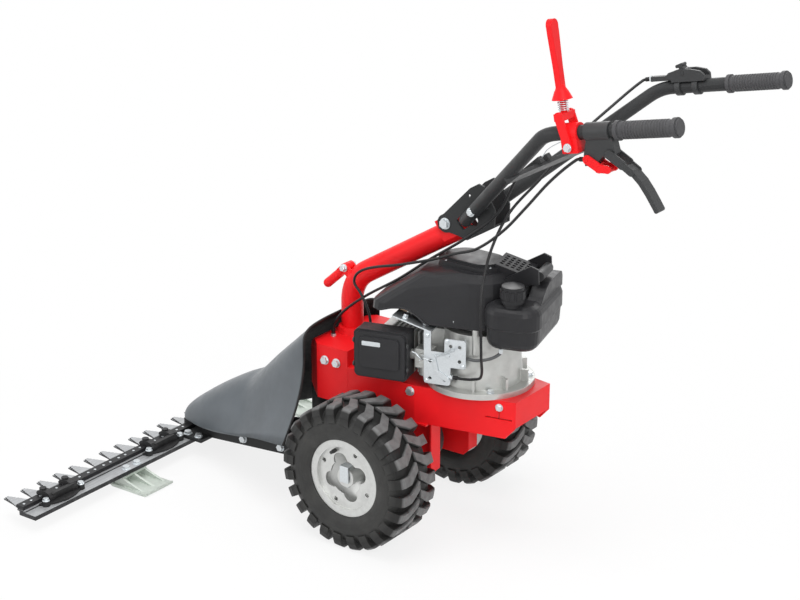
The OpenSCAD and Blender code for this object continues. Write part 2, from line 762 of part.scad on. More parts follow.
// Hood: half sections drawn as curves whose control points glide along the length
// Each line gives a place along the hood and a width, or a height over the slope from the case to the bar
hood_steps = 20;
hood_arc = 14;
ridge_line = [[0, 44], [0.14, 42], [0.31, 39], [0.38, 35], [0.46, 30], [0.52, 29], [0.58, 38], [0.66, 49],
    [0.8, 62],
    [0.9, 67], [0.95, 68], [0.98, 64], [1, 55]];
crown_line = [[0, 258], [0.14, 205], [0.31, 140], [0.46, 100], [0.52, 90], [0.66, 92], [0.8, 92], [0.95, 76],
    [0.98, 62], [1, 36]];
shoulder_y = [[0, 43], [0.14, 60], [0.31, 78], [0.46, 92], [0.52, 104], [0.66, 110], [0.8, 106], [0.95, 80],
    [0.98, 64], [1, 38]];
shoulder_z = [[0, 13], [0.14, -8], [0.31, -28], [0.46, -43], [0.52, -42], [0.66, -9], [0.8, 17],
    [0.95, 44], [1, 50]];
skirt_y = [[0, 221], [0.14, 196], [0.31, 166], [0.46, 141], [0.52, 131], [0.66, 114], [0.8, 101], [0.9, 90],
    [0.95, 80], [0.98, 64], [1, 40]];
skirt_z = [[0, -213], [0.14, -180], [0.31, -141], [0.46, -111], [0.52, -98], [0.66, -64], [0.8, -22],
    [0.9, 13], [1, 47]];
function hood_part(x) = (x - hood_rear) / (hood_front - hood_rear);
function hood_height(x, line) = case_top + (bar_top - case_top) * hood_part(x) + lookup(hood_part(x), line);
function hood_width(x, line) = lookup(hood_part(x), line);
function hood_ridge(x) = hood_height(x, ridge_line);
function bezier(a, b, c, d, t) =
    a * pow(1 - t, 3) + b * 3 * t * pow(1 - t, 2) + c * 3 * t * t * (1 - t) + d * pow(t, 3);
function hood_point(x, t, in) = bezier(
    [0, hood_ridge(x) - in], [hood_width(x, crown_line) - in, hood_ridge(x) - in],
    [hood_width(x, shoulder_y) - in, hood_height(x, shoulder_z) - in / 2],
    [hood_width(x, skirt_y) - in, hood_height(x, skirt_z)], t);
function hood_half(x, in) = [for (k = [0 : hood_arc]) hood_point(x, k / hood_arc, in)];
function hood_side(x, in, side) = [for (p = hood_half(x, in)) [x, side * p[0], p[1]]];
function flipped(list) = [for (i = [len(list) - 1 : -1 : 0]) list[i]];
function tail(list) = [for (i = [1 : len(list) - 1]) list[i]];
function hood_loop(x) = concat(
    flipped(hood_side(x, 0, 1)), tail(hood_side(x, 0, -1)),
    flipped(hood_side(x, hood_wall, -1)), tail(hood_side(x, hood_wall, 1)));
hood_stations = [for (i = [0 : hood_steps]) hood_rear + (hood_front - hood_rear) * i / hood_steps];

module hood() color("#7c8287") at_axle() {
    loops = [for (x = hood_stations) hood_loop(x)];
    n = len(loops[0]);
    half = n / 2;
    last = hood_steps * n;
    walls = [for (i = [0 : hood_steps - 1])
        for (k = [0 : n - 1])
            let (j = (k + 1) % n, low = i * n, high = low + n)
            for (f = [[low + k, high + j, low + j], [low + k, high + k, high + j]]) f];
    caps = [for (k = [0 : half - 2])
        let (a = k, b = k + 1, c = n - 2 - k, d = n - 1 - k)
            for (f = [[a, b, c], [a, c, d], [last + a, last + c, last + b],
                [last + a, last + d, last + c]]) f];
    polyhedron([for (loop = loops) for (p = loop) p], concat(walls, caps));
}

// Cutter bar

module cutter_bar() color("#8f9294") at_axle()
    translate([bar_rear, -bar_len / 2, bar_z]) cube([bar_w, bar_len, bar_t]);

comb_rear = bar_front - 18;
comb_root = bar_front + 6;
finger_root = 17;
finger_tip = 5;
comb_joint = 0.15;
module comb_finger_2d() {
    half = tooth_pitch / 2 - comb_joint;
    polygon([[comb_rear, -half], [comb_root, -half], [comb_root, -finger_root], [blade_reach, -finger_tip],
             [blade_reach, finger_tip], [comb_root, finger_root], [comb_root, half], [comb_rear, half]]);
}
module along_teeth() {
    for (i = [0 : section_count - 1]) translate([0, tooth_pitch * (i - (section_count - 1) / 2),
        0]) children();
}
module lower_comb() color("#9a9c9d") at_axle() along_teeth()
    translate([0, 0, bar_top]) linear_extrude(section_t) comb_finger_2d();

// One blade section: a straight root, then two serrated edges that run to a narrow tip
section_root = bar_front + 6;
section_tip = blade_reach - 4;
section_half = tooth_pitch / 2 - 1;
tip_half = 4;
serrations = 7;
function edge_point(k) =
    let (t = k / (2 * serrations))
    [section_root + (section_tip - section_root) * t,
     section_half + (tip_half - section_half) * t - (k % 2) * serration];
module section_2d() {
    edge = [for (k = [0 : 2 * serrations]) edge_point(k)];
    polygon(concat([[back_rear, -section_half], [back_rear, section_half]], edge,
                   [for (p = flipped(edge)) [p[0], -p[1]]]));
}

module knife_sections() color("#b4b7b8") at_axle() along_teeth()
    translate([0, 0, section_z]) linear_extrude(section_t) section_2d();

// The knife's back strip, with the slotted head that the rocker's pin drives
head_h = 12;
knife_half = bar_len / 2 - 1;
module knife_back() color("#2d2e2f") at_axle() difference() {
    union() {
        translate([back_rear, -knife_half, back_z]) cube([back_w, 2 * knife_half, back_t]);
        translate([back_rear, -42, back_z]) cube([back_w + 4, 84, back_t + head_h]);
    }
    translate([back_rear - 1, -drive_pin_r - slide_gap, back_top])
        cube([back_w + 6, 2 * (drive_pin_r + slide_gap), head_h + 1]);
}

// Hold-downs: a half-round foot on the bar, two bolt bosses and two arched fingers over the knife
clamp_bolt = 54;
clamp_half = 66;
clamp_foot = 6;
finger_y = 34;
finger_w = 18;
module clamp_finger_2d(rear, front, low) {
    polygon([[rear - 13, bar_top + clamp_foot - 1], [rear - 1, bar_top + clamp_foot - 1], [rear - 1, low],
             [front, low], [front + 1, low + 4], [front - 3, low + 9], [front - 13, low + 12.5],
             [front - 26, low + 13], [rear - 6, low + 10], [rear - 13, low + 2]]);
}
module knife_clamp() {
    foot_rear = bar_rear + 3;
    foot_front = comb_rear - 1;
    depth = foot_front - foot_rear;
    round_r = (clamp_half * clamp_half + depth * depth) / (2 * depth);
    knob_x = back_rear + back_w - 10;
    over = back_top + slide_gap;
    translate([0, 0, bar_top]) linear_extrude(clamp_foot) intersection() {
        translate([foot_rear + round_r, 0]) circle(round_r, $fn = 96);
        translate([foot_rear - 1, -clamp_half]) square([depth + 1, 2 * clamp_half]);
    }
    for (y = [-finger_y, finger_y]) {
        side_plate(y - finger_w / 2, y + finger_w / 2)
            clamp_finger_2d(foot_front, back_rear + back_w + 2, over);
        translate([knob_x, y, over + 6]) cylinder(r = 8, h = 10);
    }
    translate([foot_front - 12, -finger_y, bar_top + 5]) cube([10, 2 * finger_y, over + 4 - bar_top]);
    for (y = [-clamp_bolt, clamp_bolt]) translate([foot_front - 10, y, bar_top]) cylinder(r = 9, h = 12);
}

module knife_clamps() color("#1e1f20") at_axle()
    for (y = [-clamp_outer_y, -clamp_inner_y, clamp_inner_y, clamp_outer_y])
        translate([0, y, 0]) knife_clamp();

// Skids: a cast shoe with three ribs from the bar down to its foot
module skid() {
    half = skid_w / 2;
    toe = bar_front - 6;
    heel = bar_rear - 76;
    side_plate(-half, half)
        polygon([[heel, 5], [heel + 6, 0], [toe - 12, 0], [toe, 6], [toe - 4, 9], [toe - 14, 7],
                 [heel + 8, 7], [heel + 2, 9]]);
    translate([bar_rear + 2, -half + 6, bar_z - 7]) cube([bar_w - 8, skid_w - 12, 7]);
    for (y = [-half + 6, -3, half - 12])
        side_plate(y, y + 6)
            polygon([[heel + 16, 6], [toe - 14, 6], [bar_front - 10, bar_z - 6], [bar_rear + 2, bar_z - 6],
                     [bar_rear - 8, bar_z - 10]]);
}

module skids() color("#b9c1b6") at_axle() both_sides() translate([0, skid_y, 0]) skid();

// Knife drive: spindle with its eccentric, and the rocker shaft with its two arms

rear_arm = rock_x - spindle_x;
front_arm = pin_x - rock_x;
throw = rear_arm * tan(rock_swing);
module blade_spindle() color("#8d8f90") at_axle() translate([spindle_x, 0, 0]) {
    translate([0, 0, spindle_low - 4]) cylinder(r = spindle_r, h = case_top - case_wall - spindle_low + 4);
    translate([0, throw, rock_top + slide_gap])
        cylinder(r = spindle_r + throw + 3, h = spindle_low - 1 - rock_top - slide_gap);
}

arm_t = 12;
module rocker_arm() color("#3a3c3e") at_axle() {
    translate([rock_x, 0, rock_low]) cylinder(r = rock_r, h = rock_top - rock_low);
    translate([0, 0, rocker_z]) linear_extrude(arm_t) difference() {
        link_2d([rock_x, 0], [pin_x, 0], 14);
        translate([(rock_x + pin_x) / 2, 0]) square([0.5 * front_arm, 8], center = true);
    }
    translate([rock_x, 0, rock_low]) cylinder(r = rock_r + 8, h = arm_t + 8);
    translate([pin_x, 0, back_top + 0.5]) cylinder(r = drive_pin_r, h = rocker_z - back_top);
    translate([0, 0, rock_top - 14]) linear_extrude(14) difference() {
        union() {
            link_2d([rock_x, 0], [spindle_x + 18, 0], 16);
            translate([spindle_x - 12, -32]) square([32, 64]);
        }
        translate([spindle_x - 13, -spindle_r - throw - 4]) square([22, 2 * (spindle_r + throw + 4)]);
    }
    translate([rock_x, 0, rock_tube_high + slide_gap])
        cylinder(r = rock_r + 8, h = rock_top - rock_tube_high - slide_gap);
}

// Engine

module at_engine() {
    at_axle() translate([-engine_reach, 0, frame_top]) rotate([0, 0, engine_yaw]) children();
}

flange_t = 12;
case_r = 86;
module crankcase_cone() {
    cylinder(r1 = case_r + 6, r2 = case_r - 4, h = crankcase_h - flange_t);
}
module engine_crankcase() color("#b5b8ba") at_engine() difference() {
    union() {
        cylinder(r = flange_r, h = flange_t);
        translate([0, 0, flange_t]) crankcase_cone();
        translate([0, 0, crankcase_h]) cylinder(r = 42, h = 6);
        translate([40, -52, flange_t + 8]) cube([64, 104, crankcase_h - flange_t - 12]);
        for (a = [100, 220, 320]) rotate(a) translate([shroud_r - 6, 0, 90])
            cylinder(r = 7, h = shroud_low - 90);
        translate([-118, -24, tank_low - 14]) cube([50, 48, 14]);
        for (a = [100 : 40 : 340]) rotate(a) translate([case_r - 8, -3, flange_t])
            cube([flange_r - case_r - 2, 6, 26]);
    }
    translate([0, 0, -1]) cylinder(r = crank_r + run_gap, h = crankcase_h + 10);
}

head_x = 196;
module engine_cylinder() color("#a9acae") at_engine() {
    translate([104, -36, 30]) cube([head_x - 104, 72, 70]);
    for (x = [108 : 11 : head_x - 10]) translate([x, -58, 22]) cube([4, 116, 92]);
    translate([head_x, -50, 28]) cube([22, 100, 76]);
}

module crankshaft() color("#8d8f90") at_engine() {
    translate([0, 0, drive_belt_z - 14 - frame_top])
        cylinder(r = crank_r, h = crankcase_h + 40 - drive_belt_z + 14 + frame_top);
}

module flywheel() color("#8a8d90") at_engine() translate([0, 0, crankcase_h + 10]) {
    difference() {
        cylinder(r = shroud_r - 16, h = 22);
        translate([0, 0, -1]) cylinder(r = crank_r, h = 30);
        translate([0, 0, 10]) difference() {
            cylinder(r = shroud_r - 24, h = 20);
            cylinder(r = crank_r + 8, h = 20);
        }
    }
    for (a = [0 : 30 : 330]) rotate(a) translate([shroud_r - 38, -1.5, 9]) cube([18, 3, 22]);
}

// Shroud: a round blower housing that runs forward over the cylinder and slopes down to the front
shroud_low = crankcase_h + 16;
shroud_high = shroud_low + 116;
shroud_front = 226;
nose_corner = 34;
panel_rise = 18;
module shroud_slab(rise, back, front, half, in) {
    translate([0, 0, shroud_low + rise]) linear_extrude(1) {
        circle(back - in, $fn = 32);
        for (side = [-1, 1])
            translate([front - nose_corner, side * (half - nose_corner)]) circle(nose_corner - in, $fn = 16);
    }
}
module shroud_shape(in) {
    hull() {
        shroud_slab(-in, shroud_r, shroud_front, shroud_r + 2, in);
        shroud_slab(34, shroud_r, shroud_front - 4, shroud_r, in);
        shroud_slab(72 - in, shroud_r - 1, 168, shroud_r - 6, in);
        shroud_slab(100 - in, shroud_r - 5, 126, shroud_r - 16, in);
        translate([0, 0, shroud_high - in]) cylinder(r = shroud_r - 18 - in, h = 1, $fn = 32);
    }
}

// The bare panel on the top, the vented tower behind it and the wings beside the starter's handle
tower_rear = -112;
tower_front = -40;
tower_half = 40;
tower_fall = 20;
vent_pitch = 12;
vent_hole = 7;
wing_t = 5;
wing_y = 44;
function tower_z(x) = shroud_high + tower_fall * (x - tower_rear) / (tower_front - tower_rear);
module shroud_top() {
    translate([0, 0, shroud_high - 12]) linear_extrude(panel_rise + 12) link_2d([-8, 10], [40, -6], 42);
    translate([0, 0, shroud_high - 8]) linear_extrude(panel_rise + 2) link_2d([-10, 10], [48, -8], 50);
    side_plate(-tower_half, tower_half)
        polygon([[tower_rear, tank_high + tank_gap], [tower_front, tank_high + tank_gap],
                 [tower_front, tower_z(tower_front)], [tower_rear, tower_z(tower_rear)]]);
    for (y = [-wing_y - wing_t, wing_y]) side_plate(y, y + wing_t) translate([0, shroud_high])
        polygon([[-60, -34], [-112, -34], [-114, -16], [-140, -12], [-138, 20], [-122, 26], [-60, -10]]);
}

// The near side is cut away as an arch over the carburettor and the air filter
arch_line = [[88, -1], [100, 6], [116, 18], [140, 29], [170, 28], [200, 20], [240, 14]];
arch_y = 10;
module engine_shroud() color("#232426") at_engine() {
    difference() {
        union() {
            shroud_shape(0);
            shroud_top();
        }
        shroud_shape(cover_wall);
        side_plate(arch_y, 2 * shroud_r) translate([0, shroud_low])
            polygon(concat([[88, -8]], arch_line, [[240, -8]]));
        for (i = [0 : 4]) for (j = [-2 : 2])
            translate([tower_rear + 10 + i * vent_pitch, j * vent_pitch - vent_hole / 2, shroud_high - 6])
                cube([vent_hole, vent_hole, 40]);
    }
    rod(grip_seat - 30 * pull_dir, grip_seat - slide_gap * pull_dir, 10);
}

// Fuel tank: a blow-moulded body wrapped round the back of the shroud, with a hump behind the tower
tank_low = 118;
tank_high = 216;
tank_gap = 3;
tank_rear = -158;
tank_front = -36;
tank_right = -104;
tank_left = 122;
tank_corner = 40;
cap_at = [-97, 90];
// Rise and inset of the outline from the underside to the top, with the parting bead between
tank_levels = [[0, 22], [3, 14], [9, 8], [17, 5], [46, 3], [50, 0], [80, 0], [88, 3], [93, 9], [98, 20]];
function tank_z(rise, in) =
    tank_low + in + rise * (tank_high - tank_low - 2 * in) / tank_levels[len(tank_levels) - 1][0];
module tank_shape(in) {
    difference() {
        loft([for (level = tank_levels) let (side = level[1] + in)
            soft_loop([tank_rear + side, tank_right + side], [tank_front - side, tank_left - side],
                      tank_corner - side, tank_z(level[0], in))]);
        cylinder(r = shroud_r + tank_gap + in, h = 2 * tank_high);
    }
}
neck_r = 20;
neck_h = 18;
module fuel_tank() color("#1f2022") at_engine() difference() {
    union() {
        tank_shape(0);
        translate([tank_rear + 8, 0, tank_high]) rotate([90, 0, 90]) linear_extrude(32)
            polygon([[-94, -10], [-94, 12], [-88, 22], [-78, 26], [4, 26], [24, 20], [48, 6], [68, -10]]);
        translate([cap_at[0], cap_at[1], tank_high - 8]) cylinder(r = neck_r, h = neck_h + 8);
    }
    tank_shape(cover_wall);
    translate([cap_at[0], cap_at[1], tank_high - 10]) cylinder(r = neck_r - cover_wall, h = 40);
}

cap_lift = 5;
module fuel_cap() color("#242527") at_engine()
    translate([cap_at[0], cap_at[1], tank_high + cap_lift]) difference() {
    union() {
        cylinder(r = cap_r - 3, h = 36);
        translate([0, 0, 10]) cylinder(r = cap_r, h = 18);
    }
    translate([0, 0, -1]) cylinder(r = neck_r + slide_gap, h = neck_h - cap_lift + 1 + slide_gap);
    for (a = [0 : 30 : 330]) rotate(a) translate([cap_r + 1, 0, 9]) cylinder(r = 3, h = 20);
}

grip_seat = [tower_rear - 6, -8, shroud_high - 8];
pull_lean = 70;
pull_dir = [-sin(pull_lean), 0, cos(pull_lean)];
module starter_grip() color("#202123") at_engine() translate(grip_seat) {
    rotate([0, -pull_lean, 0]) {
        cylinder(r = 9, h = 16);
        translate([0, 0, 16]) rotate([90, 0, 0]) translate([0, 0, -34]) cylinder(r = 11, h = 68);
    }
}

// The silencer on the far side, under a folded heat shield that shows above the air filter
module muffler() color("#6f6a64") at_engine() {
    translate([118, -142, 26]) rotate([0, 90, 0]) translate([-78, 0, 0]) linear_extrude(104)
        round_rect([0, 0], [76, 62], 14);
    translate([150, -84, 60]) rotate([-90, 0, 0]) cylinder(r = 12, h = 26);
}

carb_left = 80;
carb_right = 118;
carb_y = 58;
pipe_y = 76;
pipe_z = 70;
module carburettor() color("#c2c4c5") at_engine() {
    translate([carb_left, carb_y, 46]) cube([carb_right - carb_left, 32, 42]);
    translate([carb_left + 19, pipe_y - 2, 28]) cylinder(r = 15, h = 20);
    translate([carb_left + 19, pipe_y - 2, 24]) cylinder(r = 6, h = 6);
    translate([carb_left + 19, carb_y + 31, 68]) rotate([-90, 0, 0]) cylinder(r = 12, h = 6);
    translate([carb_right - 1, pipe_y, pipe_z]) rotate([0, 90, 0])
        cylinder(r = 11, h = filter_left + 5 - carb_right);
}

filter_low = 18;
filter_high = 127;
filter_left = 126;
filter_right = 248;
filter_y = 96;
module air_filter_base() color("#1d1e1f") at_engine()
    translate([filter_left + 4, 62, filter_low + 4])
        cube([filter_right - filter_left - 8, filter_y - 62, filter_high - filter_low - 8]);

// The cover: a rounded tray with a raised, bare field on its face
module air_filter_cover() color("#2b2c2e") at_engine() translate([0, filter_y, 0]) {
    side_plate(0, 18) round_rect([filter_left, filter_low], [filter_right, filter_high], 12);
    side_plate(17, 24) round_rect([filter_left + 4, filter_low + 4], [filter_right - 4, filter_high - 4], 12);
    side_plate(23, 28) round_rect([filter_left + 16, filter_low + 26],
        [filter_right - 16, filter_high - 14], 9);
}

// Zinc control plate with its tab and the shield over the intake, and the arm that the throttle cable pulls
plate_y = 98;
plate_t = 3;
arm_pivot = [64, 46];
module control_bracket() color("#cdd3d6") at_engine() difference() {
    union() {
        side_plate(plate_y, plate_y + plate_t) difference() {
            union() {
                round_rect([34, 18], [94, 92], 8);
                round_rect([0, 60], [48, 124], 6);
                translate([78, 84]) square([16, 53]);
            }
            for (p = [[14, 108], [34, 108], [14, 76], [46, 30], [80, 30], [80, 70]]) translate(p) circle(4);
        }
        side_plate(carb_y, plate_y + plate_t)
            polygon([[78, 133], [166, 158], [166, 161], [78, 136]]);
        translate([40, plate_y - 24, 24]) cube([50, 25, plate_t]);
        translate([6, plate_y - 16, 98]) cube([plate_t, 17, 22]);
    }
    translate([0, 0, flange_t]) crankcase_cone();
    translate([arm_pivot[0], 0, arm_pivot[1]]) y_bar(3 + run_gap, plate_y - 1, plate_y + 4);
}

module governor_arm() color("#dfe2e3") at_engine() {
    side_plate(plate_y + plate_t + slide_gap, plate_y + plate_t + 2 + slide_gap) {
        link_2d(arm_pivot, arm_pivot + [-22, -12], 6);
        link_2d(arm_pivot, arm_pivot + [8, 34], 5);
    }
    translate([arm_pivot[0], 0, arm_pivot[1]]) y_bar(3, plate_y - 2, plate_y + plate_t + 3);
}

hose_route = [[-75, 96, tank_low - 0.3], [-74, 97, tank_low - 12], [-52, 101, 92], [-22, 100, 84],
    [2, 92.5, 82],
    [30, 91, 78], [54, 83, 74], [70, 80, 72], [carb_left - 0.3, 80, 72]];
module fuel_hose() color("#5a5c5e") at_engine() swept_tube(route(hose_route, 5), 3.5, 8, [0.2, 1, 0.1]);

// Fasteners on the frame, the engine's flange and the cutter bar
module frame_bolts() color("#c8cacb") {
    at_axle() {
        both_sides() {
            translate([-70, side_half, frame_low + 70]) rotate([-90, 0, 0]) bolt(5, 8);
            translate([case_rear + 30, side_half, frame_low + 88]) rotate([-90, 0, 0]) bolt(5, 8);
            translate([case_rear + 62, side_half, frame_low + 88]) rotate([-90, 0, 0]) bolt(5, 8);
            translate([rock_x + 190, beam_half, bar_top + 26]) rotate([-90, 0, 0]) bolt(5, beam_t);
            translate([rock_x + 76, beam_half, bar_top + 34]) rotate([-90, 0, 0]) bolt(5, beam_t);
            for (dy = [-18, 18]) translate([bar_rear + 12, skid_y + dy, bar_top]) bolt(5, bar_t + 6);
            for (y = [clamp_inner_y, clamp_outer_y]) for (dy = [-clamp_bolt, clamp_bolt])
                translate([comb_rear - 11, y + dy, bar_top + 12]) bolt(4, 12);
            for (x = [beam_front - 12, bar_rear + 18]) translate([x, 80, bar_top + 8]) bolt(5, 8);
        }
    }
    at_engine() for (a = [40 : 80 : 280]) rotate(a) translate([flange_r - 12, 0, flange_t])
        bolt(4, flange_t + frame_sheet);
}

// Handlebar

module at_knee(side) {
    at_axle() translate([-knee_reach, side * grip_half, knee_z]) rotate([0, grip_rise, 0]) children();
}

tube_low = [hinge[0] - 79, 48, hinge[2] + 41];
knee_z = tube_low[2] + tube_rise;
grip_z = knee_z + grip_lift;
knee = [-knee_reach, grip_half, knee_z];
tube_end = [-grip_reach + 4, grip_half, grip_z];
grip_rise = atan2(grip_lift, grip_run - 4);
upper_len = norm(tube_end - knee);
module handle_tube(r) {
    bent_rod(tube_low, knee, tube_end, handle_bend, r);
}

module handle_tubes() color("#202224") at_axle() both_sides() difference() {
    handle_tube(handle_r);
    handle_tube(handle_r - handle_wall);
}

plate_in = ear_half + 2 * slide_gap;
plate_out = plate_in + bracket_sheet;
tube_bolt = [-98, 2];
module bracket_2d() {
    polygon([[22, -4], [16, 14], [-98, 44], [-122, 44], [-132, 34], [-132, -20], [-112, -52], [-34, -52],
        [-16, -34]]);
    circle(20);
}
module handle_bracket() color("#26282a") at_axle() difference() {
    union() {
        both_sides() on_slope(hinge) {
            side_plate(plate_in, plate_out) difference() {
                bracket_2d();
                translate([-70, -20]) circle(12);
                translate([-88, 30]) circle(3.5);
            }
            translate([tube_bolt[0] - 24, plate_out - 0.5, tube_bolt[1] - 13]) cube([48, 9, 26]);
        }
        on_slope(hinge) translate([-112, -plate_in - 1, -52]) cube([70, 2 * plate_in + 2, bracket_sheet]);
    }
    both_sides() rod(tube_low - unit(knee - tube_low) * 60, knee, handle_r);
    on_slope(hinge) {
        y_bar(6 + run_gap, -60, 60);
        for (x = [-100, -74]) translate([x, -12, -60]) cube([14, 24, 20]);
    }
}

cross_mid = tube_low + (knee - tube_low) * 0.55;
cross_dir = atan2(knee[2] - tube_low[2], tube_low[0] - knee[0]);
module cross_plate() color("#1f2021") at_axle() difference() {
    translate([cross_mid[0], 0, cross_mid[2]]) rotate([0, cross_dir, 0]) {
        translate([-17, -cross_mid[1] - 6, -handle_r - 4]) cube([34, 2 * cross_mid[1] + 12, 8]);
        both_sides() translate([-17, cross_mid[1] - 16, -handle_r - 4]) cube([34, 24, 16]);
        for (y = [40, 70]) translate([-26, y - 7, -handle_r + 2]) cube([52, 14, 12]);
    }
    both_sides() handle_tube(handle_r);
}

module grip() {
    rotate([0, -90, 0]) rotate_extrude() {
        translate([handle_r, upper_len - grip_len]) square([grip_d / 2 - handle_r - 1, grip_len]);
        translate([0, upper_len]) square([grip_d / 2 - 1, 4]);
        for (z = [upper_len - grip_len, upper_len - 8])
            translate([handle_r, z]) square([grip_d / 2 - handle_r + 2, 8]);
        for (z = [upper_len - grip_len + 16 : 6 : upper_len - 18])
            translate([handle_r, z]) square([grip_d / 2 - handle_r, 3]);
    }
}
module grips() color("#1c1d1e") for (side = [-1, 1]) at_knee(side) grip();

// Blade control on the left tube: a clamp, a forked lever that straddles it and a neck spring
lever_pivot = [-60, -24];
clamp_r = handle_r + 5;
fork_half = clamp_r + 5;
module lever_clamp() color("#d8232a") at_knee(1) difference() {
    union() {
        rotate([0, -90, 0]) translate([0, 0, 44]) cylinder(r = clamp_r, h = 34);
        translate([-78, -clamp_r, -36]) cube([34, 2 * clamp_r, 30]);
    }
    rotate([0, -90, 0]) translate([0, 0, 40]) cylinder(r = handle_r, h = 42);
    translate([lever_pivot[0], 0, lever_pivot[1]]) y_bar(4 + run_gap, -fork_half, fork_half);
}

neck_low = 40;
spring_h = 24;
neck_x = -48;
club_low = neck_low + spring_h;
club_t = 12;

// The lever's flat arm: slim over the bell, widest near its round end
module club_2d() {
    polygon([[-8, 10], [8, 10], [8.5, 60], [12, blade_lever_len - 28], [12, blade_lever_len - 12],
             [-12, blade_lever_len - 12], [-12, blade_lever_len - 28], [-8.5, 60]]);
    translate([0, blade_lever_len - 12.5]) circle(12.4);
}
module blade_lever() color("#d8232a") at_knee(1) difference() {
    union() {
        for (y = [-fork_half, clamp_r + slide_gap])
            side_plate(y, y + fork_half - clamp_r - slide_gap)
                link_2d(lever_pivot, [neck_x, neck_low - 6], 9);
        translate([neck_x - 9, -fork_half, neck_low - 14]) cube([18, 2 * fork_half, 14]);
        translate([neck_x, 0, neck_low - 2]) cylinder(r = 6, h = spring_h + 4);
        translate([neck_x, 0, club_low]) cylinder(r1 = 20, r2 = 13, h = 16);
        translate([neck_x, 0, club_low + 15]) cylinder(r1 = 13, r2 = 7, h = 12);
        translate([neck_x - club_t / 2, 0, club_low]) rotate([90, 0, 90]) linear_extrude(club_t) club_2d();
    }
    translate([lever_pivot[0], 0, lever_pivot[1]]) y_bar(4 + run_gap, -30, 30);
}

spring_turns = 5;
spring_rise = spring_h - spring_wire - 1;
function coil_point(a) = [neck_x + 9.5 * cos(a), 9.5 * sin(a),
    neck_low + spring_wire / 2 + 0.5 + spring_rise * a / (360 * spring_turns)];
coil = [for (a = [0 : 45 : 360 * spring_turns]) coil_point(a)];
coil_gap = min([for (i = [0 : len(coil) - 1])
    for (j = [i + 5 : 1 : len(coil) - 1]) norm(coil[i] - coil[j])]) - spring_wire;
module lever_spring() {
    echo(str("least gap between the turns of the lever spring, mm: ", coil_gap));
    color("#c8c9ca") at_knee(1) swept_tube(coil, spring_wire / 2, 6, [0, 0, 1]);
}

// Clutch control under the left grip: a mount, a long lever and a red safety catch
clutch_pivot = [-140, -42];
catch_pivot = [-92, -50];
module clutch_mount() color("#232526") at_knee(1) difference() {
    union() {
        rotate([0, -90, 0]) translate([0, 0, 92]) cylinder(r = handle_r + 4, h = 52);
        side_plate(-11, 11)
            polygon([[-94, -10], [-148, -10], [-152, -42], [-140, -54], [-126, -44], [-106, -62],
                [-84, -62], [-84, -42]]);
    }
    rotate([0, -90, 0]) translate([0, 0, 80]) cylinder(r = handle_r + run_gap, h = 80);
    translate([clutch_pivot[0], 0, clutch_pivot[1]]) y_bar(4 + run_gap, -20, 20);
    translate([catch_pivot[0], 0, catch_pivot[1]]) y_bar(3 + run_gap, -20, 20);
}

// The lever's blade: a bent strip that hangs from two side arms
clutch_bends = [[-172, -69], [-181, -77], [-196, -96], [-207, -116], [-216, -136], [-222, -150]];
module clutch_lever() color("#1f2021") at_knee(1) {
    for (y = [-15, 11 + slide_gap]) side_plate(y, y + 4 - slide_gap) {
        link_2d(clutch_pivot, [-164, -62], 9);
        link_2d([-164, -62], clutch_bends[1], 7);
    }
    translate([clutch_pivot[0], 0, clutch_pivot[1]]) y_bar(4, -15, 15);
    side_plate(-13, 13) for (i = [0 : len(clutch_bends) - 2])
        link_2d(clutch_bends[i], clutch_bends[i + 1], 5 - 0.1 * i);
}

module safety_catch() color("#d8232a") at_knee(1) {
    for (y = [-15, 11 + slide_gap]) side_plate(y, y + 4 - slide_gap) {
        link_2d(catch_pivot, [-115, -67], 9);
        link_2d([-115, -67], [-132, -70], 7.5);
    }
    translate([catch_pivot[0], 0, catch_pivot[1]]) y_bar(3, -16.5, 16.5);
    side_plate(-13, 13) link_2d([-110, -71], [-130, -73], 4.5);
}

// Throttle control on the right tube: a low, long pod with a thumb lever between its walls
throttle_pivot = [-62, 30];
pod_rear = -110;
pod_front = 16;
module throttle_body() color("#2a2c2e") at_knee(-1) difference() {
    union() {
        translate([pod_rear, -16, handle_r - 2]) cube([pod_front - pod_rear - 50, 32, 8]);
        for (y = [-16, 10]) side_plate(y, y + 6) translate([0, handle_r])
            polygon([[pod_rear, 4], [pod_rear, 10], [pod_rear + 8, 18], [-80, 23], [-50, 23], [-30, 18],
                     [-22, 10], [-22, 4]]);
        translate([-36, -8, handle_r + 1]) cube([36 + pod_front, 16, 10]);
        for (x = [-92, -52]) rotate([0, -90, 0]) translate([0, 0, -x - 12])
            cylinder(r = handle_r + 4, h = 12);
    }
    rotate([0, -90, 0]) translate([0, 0, -30]) cylinder(r = handle_r, h = 150);
    translate([throttle_pivot[0], 0, throttle_pivot[1]]) y_bar(4 + run_gap, -20, 20);
}

module throttle_lever() color("#1c1d1e") at_knee(-1) {
    side_plate(-10 + slide_gap, 10 - slide_gap) {
        translate(throttle_pivot) circle(9);
        link_2d(throttle_pivot, throttle_pivot + [7, 13], 4.5);
    }
    translate([throttle_pivot[0], 0, throttle_pivot[1]]) y_bar(4, -17, 17);
    side_plate(-9, 9) translate(throttle_pivot) link_2d([4, 16], [14, 13], 3.5);
}

// Bolts of the handlebar: the height hinge, the tube bolts and the lever pivot
module handlebar_bolts() color("#c8cacb") {
    at_axle() on_slope(hinge) {
        y_bar(6, -plate_out, plate_out);
        for (side = [0, 180]) rotate([0, 0, side]) translate([0, plate_out, 0]) rotate([-90, 0, 0])
            bolt(6, 1);
    }
    at_knee(1) translate([lever_pivot[0], 0, lever_pivot[1]]) {
        y_bar(4, -fork_half - 2, fork_half + 2);
        for (side = [0, 180]) rotate([0, 0, side])
            translate([0, fork_half + slide_gap, 0]) rotate([-90, 0, 0]) bolt(4, 1);
    }
}

